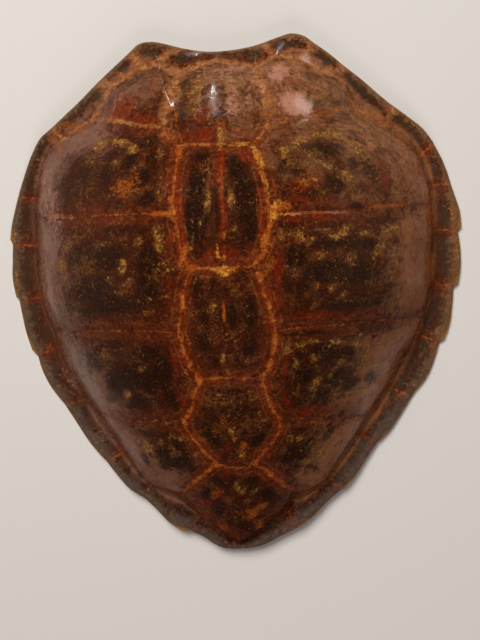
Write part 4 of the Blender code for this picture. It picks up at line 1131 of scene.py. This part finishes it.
LIGHT_CURL_LEVEL, DARK_CURL_LEVEL, CURL_SHARPNESS = 0.5, 0.57, 16
RING_LINE_MM, RING_LINE_SHARPNESS = 9.5, 0.4
STRAY_GOLD_MOST = 0.34
mask["light_curl"] = contour(horn_tree, grey["curl"], LIGHT_CURL_LEVEL, CURL_SHARPNESS)
mask["dark_curl"] = contour(horn_tree, grey["curl"], DARK_CURL_LEVEL, CURL_SHARPNESS)
beside_seam = contour(horn_tree, mask["seam_mm"], RING_LINE_MM, RING_LINE_SHARPNESS)
drift = ragged_cover(horn_tree, 0.5, grey["broad"], 3.0, 0.3, 1.0, STRAY_GOLD_MOST)
print("a growth line lies", RING_LINE_MM, "mm from each glowing seam")

# %% [markdown]
# ## Where each layer lies
# The horn isn't the same all over. The head end is paler with painted light, brightest on the right. The
# flanks are a milky brown that is partly wear and partly painted sheen, the trough inside the margin is
# darkened with painted shade, and the margins at the tail have a grey painted sheen. A ramp says where one
# of these begins and where it is full, and several ramps multiplied give the layer its place.

# %% Ramps along and across the shell, in millimetres
# The painted light at the head end slants, so it reaches farther towards the tail on the right.
LIGHT_SLANT = 0.45
place_parts = add_node(horn_tree, "ShaderNodeSeparateXYZ", {"Vector": horn_place}).outputs
place_x, place_y = place_parts["X"], place_parts["Y"]
off_middle = add_node(horn_tree, "ShaderNodeMath", {0: place_x}, operation="ABSOLUTE").outputs[0]
inputs = {0: place_x, 1: LIGHT_SLANT, 2: place_y}
lit_headward = add_node(horn_tree, "ShaderNodeMath", inputs, operation="MULTIPLY_ADD").outputs[0]
ramp = {}

# Each ramp: what it follows, where it begins and where it is full.
for name, source, start, end in (
    ("upper", place_y, 90, 200),
    ("top", place_y, 205, 250),
    ("below_head", place_y, 170, 70),
    ("low", place_y, -60, -160),
    # where the painted light at the head end begins and where it is full
    ("head", lit_headward, 150, 315),
    ("from_left", place_x, -60, 60),
    ("rightward", place_x, -200, 200),
    ("to_side", off_middle, 40, 100),
):
    inputs = {"Value": source, "From Min": start * MM, "From Max": end * MM}
    ramp[name] = add_node(horn_tree, "ShaderNodeMapRange", inputs).outputs[0]
# A milky veil over the sides, away from the middle of the shell, is a painted sheen.
SHEEN_START, SHEEN_END, SHEEN_MOST = 90 * MM, 160 * MM, 0.045
inputs = {"Value": off_middle, "From Min": SHEEN_START, "From Max": SHEEN_END, "To Max": SHEEN_MOST}
painted_sheen = add_node(horn_tree, "ShaderNodeMapRange", inputs).outputs[0]
print("ramps:", ", ".join(ramp))

# %% Ramps across the margin, from the costals' foot (0) to the rim (1)
TROUGH_START, TROUGH_END, UPPER_TROUGH_SHIFT, LOW_TROUGH_SHIFT = 0.15, 0.42, 0.2, -0.17
UPPER_LIP_SHIFT, LOW_LIP_SHIFT = -0.1, -0.12

# The trough and the lip lie farther out at the head and at the tail.
for name, source, shift, start in (
    ("gutter", ramp["low"], LOW_TROUGH_SHIFT, mask["across"]),
    ("trough_start", ramp["upper"], UPPER_TROUGH_SHIFT, TROUGH_START),
    ("trough_end", ramp["upper"], UPPER_TROUGH_SHIFT, TROUGH_END),
    ("upper_lip", ramp["upper"], UPPER_LIP_SHIFT, mask["across"]),
):
    inputs = {0: source, 1: shift, 2: start}
    ramp[name] = add_node(horn_tree, "ShaderNodeMath", inputs, operation="MULTIPLY_ADD").outputs[0]
inputs = {0: ramp["low"], 1: LOW_LIP_SHIFT, 2: ramp["upper_lip"]}
mask["lip"] = add_node(horn_tree, "ShaderNodeMath", inputs, operation="MULTIPLY_ADD").outputs[0]

# Each ramp: what it follows, where it begins and where it is full.
for name, source, start, end in (
    ("flank", mask["across"], -2.5, -0.4),
    ("on_dome", mask["across"], 0.1, -0.3),
    ("on_margin", mask["across"], -0.1, 0.15),
    ("off_foot", mask["across"], 0.1, 0.35),
    ("off_lip", mask["across"], 0.4, 0.1),
    ("outer_margin", mask["across"], 0.42, 0.7),
    ("into_trough", ramp["gutter"], 0.12, 0.32),
    ("before_lip", ramp["gutter"], 0.65, 0.4),
    ("above_trough", ramp["gutter"], ramp["trough_end"], ramp["trough_start"]),
):
    inputs = {"Value": source, "From Min": start, "From Max": end}
    ramp[name] = add_node(horn_tree, "ShaderNodeMapRange", inputs).outputs[0]
print("ramps so far:", ", ".join(ramp))

# %% Ramps with their own ends, then the seams' halo and line
# Each ramp: what it follows, from where to where, and its first and last value.
for name, source, start, end, first, last in (
    ("middle", mask["seam_mm"], 5, 24, 0, 1),
    ("off_seam", mask["seam_mm"], 2, 24, 0.45, 1),
    ("marginal_away", mask["seam_mm"], 4, 12, 0, 0.75),
    ("fire", mask["glow"], 0.1, 0.6, 0, 1),
    ("along_seam", grey["cloud"], 0.38, 0.62, 0.35, 1.6),
):
    inputs = {"Value": source, "From Min": start, "From Max": end, "To Min": first, "To Max": last}
    ramp[name] = add_node(horn_tree, "ShaderNodeMapRange", inputs).outputs[0]
HALO_LEAST_MM, HALO_GLOW_MM = 3.5, 11.0
LINE_LEAST_MM, LINE_GLOW_MM = 0.5, 2.8
mask["halo"] = seam_band(horn_tree, HALO_LEAST_MM, HALO_GLOW_MM)
mask["line"] = seam_band(horn_tree, LINE_LEAST_MM, LINE_GLOW_MM, ramp["along_seam"])
print("halo beside the brightest seam:", HALO_LEAST_MM + HALO_GLOW_MM, "mm")

# %% Masks: ramps, or products of several
# Under the painted light at the head end, the dark clouds are weaker.
LIT_HEAD_DARKS = 0.75
PRODUCTS = {
    "middle": (ramp["middle"],),
    "stray_gold": (ramp["middle"], drift, ramp["on_dome"]),
    "marginal_middle": (ramp["off_foot"], ramp["marginal_away"]),
    # painted shade in the trough inside the margin, away from the head
    "trough_shade": (ramp["into_trough"], ramp["before_lip"], ramp["below_head"]),
    "ring_line": (beside_seam, mask["glow"]),
    # the painted light over the head end, off the lip
    "head": (ramp["head"], ramp["off_lip"]),
    # the flanks: worn horn with a painted sheen over it
    "flank": (ramp["flank"], ramp["above_trough"], ramp["to_side"], ramp["off_seam"]),
    "head_band": (mask["halo"], ramp["top"]),
    # a grey painted sheen on the outer margins towards the tail
    "low_margin_sheen": (ramp["low"], ramp["outer_margin"]),
}
for name, (product, *factors) in PRODUCTS.items():
    for factor in factors:
        inputs = {0: product, 1: factor}
        product = add_node(horn_tree, "ShaderNodeMath", inputs, operation="MULTIPLY").outputs[0]
    mask[name] = product
inputs = {0: mask["gold"], 1: mask["stray_gold"]}
mask["all_gold"] = add_node(horn_tree, "ShaderNodeMath", inputs, operation="MAXIMUM").outputs[0]
inputs = {"Value": mask["head"], "To Min": 1.0, "To Max": LIT_HEAD_DARKS}
dark_share = add_node(horn_tree, "ShaderNodeMapRange", inputs).outputs[0]
inputs = {0: mask["dark"], 1: dark_share}
mask["darks"] = add_node(horn_tree, "ShaderNodeMath", inputs, operation="MULTIPLY").outputs[0]
print("masks:", ", ".join(mask))

# %% [markdown]
# ## The tints
# No patch of horn has one colour. Most tints run from dull to bright with a noise, and some change with
# their place: the halo is fiery beside the vertebrals and tan at the head, and the dark patches turn
# olive on the margins.

# %% Tints from dull to bright
# Each tint: its noise, how ragged it is, and its dull and its bright colour.
TINTS = {
    "ground": ("cloud", 2.6, "#3c1208", "#622610"),
    "fiery": ("fleck", 2.6, "#5c1806", "#943a0c"),
    "maroon": ("fleck", 2.6, "#3c1208", "#6a2410"),
    "tan": ("ragged", 2.4, "#7e4424", "#ae7040"),
    # the painted light at the head end, duller on the left and brighter on the right
    "lit_head_left": ("cloud", 3.4, "#421c10", "#6e3e26"),
    "lit_head_right": ("cloud", 3.4, "#6c3a22", "#b0784e"),
    "gold": ("grain", 3.4, "#6e4218", "#ba843c"),
    "yellow": ("grain", 3.4, "#a25e1a", "#d4963a"),
    "line": ("ragged", 3.0, "#8a3e16", "#c67c3a"),
    "line_tan": ("ragged", 3.0, "#94582e", "#c08c56"),
}
TINT_START, TINT_FULL = 0.1, 0.9
tint = {}
for name, (noise_name, ragged, dull, bright) in TINTS.items():
    share = ragged_cover(horn_tree, 0.5, grey[noise_name], ragged, TINT_START, TINT_FULL)
    inputs = {0: share, 6: linear(dull), 7: linear(bright)}
    tint[name] = add_node(horn_tree, "ShaderNodeMix", inputs, data_type="RGBA").outputs[2]
print("tints from dull to bright:", len(tint))

# %% Tints that change with their place
# Each tint: what it changes with, and its colour at the ramp's start and at its end.
for name, share, first, second in (
    ("halo", ramp["fire"], "maroon", "fiery"),
    ("halo", ramp["top"], "halo", "tan"),
    ("head", ramp["from_left"], "lit_head_left", "lit_head_right"),
    ("line", ramp["top"], "line", "line_tan"),
    ("dark_margin", ramp["low"], "#3a281a", "#3e3428"),
    ("dark", ramp["on_margin"], "#211008", "dark_margin"),
    ("dark", ramp["top"], "dark", "#342819"),
    ("lip", ramp["rightward"], "#6a5844", "#8c6242"),
    ("lip", ramp["low"], "lip", "#6e5a4a"),
    # the flanks' worn horn and painted sheen, lighter on the right
    ("flank", ramp["rightward"], "#8a6250", "#bc784c"),
    # the trough's painted shade, darkest at the tail
    ("trough_shade", ramp["low"], "#42190e", "#240c08"),
    ("margin", ramp["low"], "#3e2818", "#423a2e"),
):
    first_colour, second_colour = (tint[end] if end in tint else linear(end) for end in (first, second))
    inputs = {0: share, 6: first_colour, 7: second_colour}
    tint[name] = add_node(horn_tree, "ShaderNodeMix", inputs, data_type="RGBA").outputs[2]
print("tints:", ", ".join(tint))

# %% [markdown]
# ## The layers
# Each layer is a tint laid over all that is below it, as far as its cover lets it. So the order matters:
# first the clouding and the dark middles, then the places, the streaks and curls, the dark clouds and
# the seams, and late the golden flecks, because the brightest horn seems to lie on top.

# %% Layers of the horn, from the ground up
# Each layer: how much of it there is, as a mask or a number, the noise, how ragged it is, where its
# cover starts and is full, its most, and its tint.
LAYERS = (
    # clouding all over, and the near-black middle of each scute
    (0.5, "ragged", 2.4, 0.5, 1.2, 0.42, "#803d12"),
    (0.5, "cloud", -2.4, 0.4, 1.2, 0.4, "#4a240c"),
    ("middle", "cloud", 3.2, 0.1, 1.2, 0.85, "#2c1107"),
    # margins, worn flanks with painted sheen, and the painted light of the head end with its flowing streaks
    ("marginal_middle", "cloud", 3.0, 0.2, 0.9, 0.7, "margin"),
    ("flank", "cloud", 1.6, 0.1, 0.95, 0.8, "flank"),
    ("head", "broad", -2.4, 0.15, 1.1, 0.7, "head"),
    ("head", "flow", -3.0, 0.4, 1.5, 0.5, "#3e2614"),
    ("head", "flow", 3.0, 0.6, 1.5, 0.35, "#b07a50"),
    # red pigment, growth streaks, painted shade in the trough, and curls
    ("red", "cloud", 2.4, 0.3, 1.2, 0.8, "#741c08"),
    (0.5, "ring", 2.6, 0.5, 1.3, 0.2, "#94501c"),
    (0.5, "ring", -2.6, 0.5, 1.3, 0.34, "#260e05"),
    ("trough_shade", "cloud", 2.2, 0.1, 0.8, 0.75, "trough_shade"),
    ("light_curl", "broad", 3.4, 0.3, 1.5, 0.4, "#92562a"),
    ("dark_curl", "broad", -3.4, 0.3, 1.5, 0.5, "#200c05"),
    # dark clouds, the seams' halo, the lip and a growth line
    ("darks", "ragged", 1.7, 0.15, 1.0, 0.88, "dark"),
    ("halo", "cloud", 2.4, 0.1, 1.2, 0.75, "halo"),
    ("head_band", "cloud", 1.5, 0.2, 0.85, 0.75, "tan"),
    ("lip", "ragged", 0.9, 0.55, 0.9, 0.7, "lip"),
    ("ring_line", "curly", 3.4, 0.3, 1.3, 0.45, "#94602c"),
    # pale clouds that are partly painted sheen, orange, golden and yellow clouds, and the seam's bright line
    ("pale_and_sheen", "ragged", 2.6, 0.25, 1.25, 0.75, "#bc846c"),
    ("orange", "curly", 2.2, 0.25, 1.2, 0.8, "#b35a1c"),
    ("gold", "cloud", 1.6, 0.2, 1.2, 0.65, "#6e461c"),
    ("all_gold", "curly", 3.2, 0.4, 1.25, 0.82, "gold"),
    ("yellow", "curly", 2.6, 0.3, 1.2, 0.9, "yellow"),
    ("line", "curly", 2.4, 0.1, 1.2, 0.85, "line"),
    # fine grain, dark and light, and the grey painted sheen on the tail's margins
    (0.45, "grain", -2.0, 0.4, 1.2, 0.26, "#240e06"),
    (0.4, "grain", 2.0, 0.4, 1.2, 0.16, "#a8683a"),
    ("low_margin_sheen", "cloud", 2.4, 0.2, 1.3, 0.5, "#5e4e46"),
)
colour = tint["ground"]
for source, noise_name, ragged, start, end, most, name in LAYERS:
    amount = mask.get(source, source)
    share = ragged_cover(horn_tree, amount, grey[noise_name], ragged, start, end, most)
    inputs = {0: share, 6: colour, 7: tint[name] if name in tint else linear(name)}
    colour = add_node(horn_tree, "ShaderNodeMix", inputs, data_type="RGBA").outputs[2]
print("layers of horn:", len(LAYERS))

# %% Painted milky sheen on the sides, wear at the rim, and each seam's own dark crack
WEAR_RAGGED, WEAR_START, WEAR_FULL, WEAR_MOST = 0.16, 0.93, 0.985, 0.8
CRACK_EDGE_MM, CRACK_FLOOR_MM, CRACK_MOST = 0.6, 0.1, 0.6
worn = ragged_cover(
    horn_tree, mask["across"], grey["ragged"], WEAR_RAGGED, WEAR_START, WEAR_FULL, WEAR_MOST
)
inputs = {"Value": mask["seam_mm"], "From Min": CRACK_EDGE_MM, "From Max": CRACK_FLOOR_MM}
inputs["To Max"] = CRACK_MOST
crack = add_node(horn_tree, "ShaderNodeMapRange", inputs, interpolation_type="SMOOTHSTEP").outputs[0]
# The veil is a painted sheen; the wear at the rim and the cracks are the horn's own.
for share, hex_code in ((painted_sheen, "#8c7464"), (worn, "#8c6438"), (crack, "#2a1008")):
    inputs = {0: share, 6: colour, 7: linear(hex_code)}
    colour = add_node(horn_tree, "ShaderNodeMix", inputs, data_type="RGBA").outputs[2]
horn_tree.links.new(colour, horn_shader.inputs["Base Color"])
print("horn nodes for the colour:", len(horn_tree.nodes))

# %% [markdown]
# ## Varnish
# A clear coat lies over horn that is rougher itself. The coat has its own slow ripple, which the brush
# left, and the horn below has finer relief. So the mirror image of a window breaks up into a streak with
# soft edges. The coat is thin and old, so it is only partly there, and the horn's own gloss is weak.

# %% Varnish: gloss and fine relief
RELIEF_RAGGED_SHARE, HORN_ROUGHNESS_MOST = 0.8, 0.6
HORN_RELIEF, HORN_RELIEF_STRENGTH = 0.12 * MM, 0.6
VARNISH_RIPPLE, VARNISH_RIPPLE_STRENGTH = 0.25 * MM, 0.5
inputs = {0: grey["ragged"], 1: RELIEF_RAGGED_SHARE, 2: grey["ring"]}
relief = add_node(horn_tree, "ShaderNodeMath", inputs, operation="MULTIPLY_ADD").outputs[0]
for socket, height, distance, strength in (
    ("Normal", relief, HORN_RELIEF, HORN_RELIEF_STRENGTH),
    ("Coat Normal", grey["cloud"], VARNISH_RIPPLE, VARNISH_RIPPLE_STRENGTH),
):
    inputs = {"Height": height, "Distance": distance, "Strength": strength}
    bump = add_node(horn_tree, "ShaderNodeBump", inputs)
    horn_tree.links.new(bump.outputs["Normal"], horn_shader.inputs[socket])
horn_rough = ragged_cover(horn_tree, 0.4, grey["ragged"], 1.5, 0.0, 1.0, HORN_ROUGHNESS_MOST)
horn_tree.links.new(horn_rough, horn_shader.inputs["Roughness"])
horn_shader.inputs["IOR"].default_value = 1.54
horn_shader.inputs["Specular IOR Level"].default_value = 0.15
horn_shader.inputs["Coat Weight"].default_value = 0.4
horn_shader.inputs["Coat Roughness"].default_value = 0.06
print("horn nodes:", len(horn_tree.nodes))

# %% [markdown]
# ## Dry bone
# Under the horn is dry bone. It is matt and cream to tan, with old brown stains, darker patches and fine
# pores. It has no varnish.

# %% Bone
BONE_ROUGHNESS, PORE_DEPTH = 0.72, 0.3 * MM

# Dry bone gives the eye a chalky, even light, with pores and stains but no gloss.
bone, bone_tree, bone_shader = new_material("dry_bone")
bone_place = add_node(bone_tree, "ShaderNodeTexCoord").outputs["Object"]

# Each layer: its size on the bone, detail, roughness, distortion, where its cover starts and is full,
# its most, and its colour.
BONE_LAYERS = {
    "stain": (60 * MM, 4, 0.6, 0.6, 0.3, 1.0, 0.7, "#9a7a4c"),
    "patch": (16 * MM, 5, 0.65, 0.8, 0.6, 1.2, 0.65, "#785434"),
    "pore": (1.6 * MM, 2, 0.5, 0.0, 0.75, 1.1, 0.5, "#5a4028"),
}
bone_colour = linear("#bea67c")
for size, detail, roughness, distortion, start, end, most, hex_code in BONE_LAYERS.values():
    settings = {"Vector": bone_place, "Scale": 1 / size, "Detail": detail, "Roughness": roughness}
    settings["Distortion"] = distortion
    bone_grey = add_node(bone_tree, "ShaderNodeTexNoise", settings).outputs["Fac"]
    share = ragged_cover(bone_tree, 0.5, bone_grey, 3.0, start, end, most)
    inputs = {0: share, 6: bone_colour, 7: linear(hex_code)}
    bone_colour = add_node(bone_tree, "ShaderNodeMix", inputs, data_type="RGBA").outputs[2]
bone_tree.links.new(bone_colour, bone_shader.inputs["Base Color"])
bone_shader.inputs["Roughness"].default_value = BONE_ROUGHNESS
pores = add_node(bone_tree, "ShaderNodeBump", {"Height": bone_grey, "Distance": PORE_DEPTH})
bone_tree.links.new(pores.outputs["Normal"], bone_shader.inputs["Normal"])
carapace_mesh.materials.append(horn)
carapace_mesh.materials.append(bone)
print("bone layers:", ", ".join(BONE_LAYERS))

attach(carapace, "root")
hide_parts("carapace")
print("declared:", carapace.name)

# %% [markdown]
# ## Floor and light
# The floor is plain pale plaster. Most of the light comes from above on the head side, with a weak fill
# from the tail side. These two and the floor are hidden from glossy rays, because in the varnish they
# would be large white patches. What the varnish mirrors is three small lights like windows, and a pale
# band low in the room.

# %% Floor
FLOOR_HALF_SIZE, FLOOR_DROP, FLOOR_ROUGHNESS = 4, 0.5 * MM, 0.9
floor_mesh = bpy.data.meshes.new("floor")
floor_form = bmesh.new()
bmesh.ops.create_grid(floor_form, x_segments=1, y_segments=1, size=FLOOR_HALF_SIZE)
floor_form.to_mesh(floor_mesh)
floor_form.free()
floor = bpy.data.objects.new("floor", floor_mesh)
floor.location.z = -FLOOR_DROP
bpy.context.scene.collection.objects.link(floor)

# Pale plaster gives the eye a matt, even ground that shows only the soft shadow.
plaster, _, plaster_shader = new_material("pale_plaster")
plaster_shader.inputs["Base Color"].default_value = linear("#e4e0dc")
plaster_shader.inputs["Roughness"].default_value = FLOOR_ROUGHNESS
floor_mesh.materials.append(plaster)
floor.visible_glossy = False
print("floor:", 2 * FLOOR_HALF_SIZE, "m wide")

# %% [markdown]
# ## The room that the varnish mirrors
# The flanks face outwards and mirror what is low in the room, and much of their milky brown haze is that
# mirror image. So the room is dim but for a pale band below the horizon. The band is weaker on the right,
# stronger behind the tail, and broken up by a noise, as furniture breaks up a pale wall.

# %% A dim room with a pale band low in it
ZENITH_STRENGTH, GROUND_STRENGTH = 0.03, 0.05
BAND_STRENGTH, BAND_START, BAND_FULL = 0.34, -0.24, -0.54
BAND_FOOT, BAND_FOOT_SHARE = -0.95, 0.75
RIGHT_SHARE, TAIL_SHARE = 0.68, 1.2
FURNITURE_SCALE = 5.0
bpy.context.scene.view_settings.view_transform = "Standard"
world = bpy.data.worlds.new("soft_room")
bpy.context.scene.world = world
world.use_nodes = True
room = world.node_tree
direction = add_node(room, "ShaderNodeTexCoord").outputs["Generated"]
sideways, lengthways, upward = add_node(room, "ShaderNodeSeparateXYZ", {"Vector": direction}).outputs
settings = {"Vector": direction, "Scale": FURNITURE_SCALE, "Detail": 2, "Roughness": 0.5}
furniture = add_node(room, "ShaderNodeTexNoise", settings).outputs["Fac"]
room_ramp = {}

# Each ramp: what it follows, from where to where, its first and last value, and its kind.
for name, source, start, end, first, last, kind in (
    ("dim", upward, -0.1, 0.3, GROUND_STRENGTH, ZENITH_STRENGTH, "SMOOTHSTEP"),
    ("band", upward, BAND_START, BAND_FULL, 0, BAND_STRENGTH, "SMOOTHSTEP"),
    ("sinking", upward, BAND_FULL, BAND_FOOT, 1, BAND_FOOT_SHARE, "LINEAR"),
    ("leftward", sideways, 0.3, -0.3, RIGHT_SHARE, 1, "SMOOTHSTEP"),
    ("tailward", lengthways, -0.3, -0.65, 0, TAIL_SHARE, "SMOOTHSTEP"),
    ("uneven", furniture, 0.4, 0.6, 0.1, 1.3, "SMOOTHSTEP"),
):
    inputs = {"Value": source, "From Min": start, "From Max": end, "To Min": first, "To Max": last}
    room_ramp[name] = add_node(room, "ShaderNodeMapRange", inputs, interpolation_type=kind).outputs[0]
inputs = {0: room_ramp["band"], 1: room_ramp["sinking"]}
band = add_node(room, "ShaderNodeMath", inputs, operation="MULTIPLY").outputs[0]
inputs = {0: room_ramp["leftward"], 1: room_ramp["tailward"]}
band_share = add_node(room, "ShaderNodeMath", inputs, operation="MAXIMUM").outputs[0]
inputs = {0: band_share, 1: room_ramp["uneven"]}
band_share = add_node(room, "ShaderNodeMath", inputs, operation="MULTIPLY").outputs[0]
inputs = {0: band, 1: band_share, 2: room_ramp["dim"]}
strength = add_node(room, "ShaderNodeMath", inputs, operation="MULTIPLY_ADD").outputs[0]
room.links.new(strength, room.nodes["Background"].inputs["Strength"])
room.nodes["Background"].inputs["Color"].default_value = linear("#f0dcd2")
print("room nodes:", len(room.nodes))

# %% Lights
# Each light: its name, its place, its width and height in metres, its power in watts, its colour, and
# whether the varnish mirrors it.
LIGHTS = (
    ("ceiling", (-0.8, 2.5, 3.4), (2.0, 2.0), 182, "#fffbf6", False),
    ("fill", (0.2, -2.6, 2.6), (2.0, 2.0), 30, "#fff6f0", False),
    ("window_gleam", (-0.3, 2.8, 0.07), (0.035, 0.12), 1.0, "#ffffff", True),
    ("window_haze", (-0.25, 2.8, 0.32), (0.1, 0.55), 0.9, "#f4f6ff", True),
    ("soft_gleam", (0.95, 2.4, 0.32), (0.3, 0.24), 1.3, "#fff2ea", True),
)
for name, place, size, power, hex_code, mirrored in LIGHTS:
    light = bpy.data.lights.new(name, "AREA")
    light.shape = "RECTANGLE"
    light.size, light.size_y = size
    light.energy = power
    light.color = linear(hex_code)[:3]
    lamp = bpy.data.objects.new(name, light)
    lamp.location = place
    lamp.rotation_mode = "QUATERNION"
    lamp.rotation_quaternion = Vector(place).to_track_quat("Z", "Y")
    lamp.visible_glossy = mirrored
    bpy.context.scene.collection.objects.link(lamp)
print("lights:", ", ".join(light[0] for light in LIGHTS))
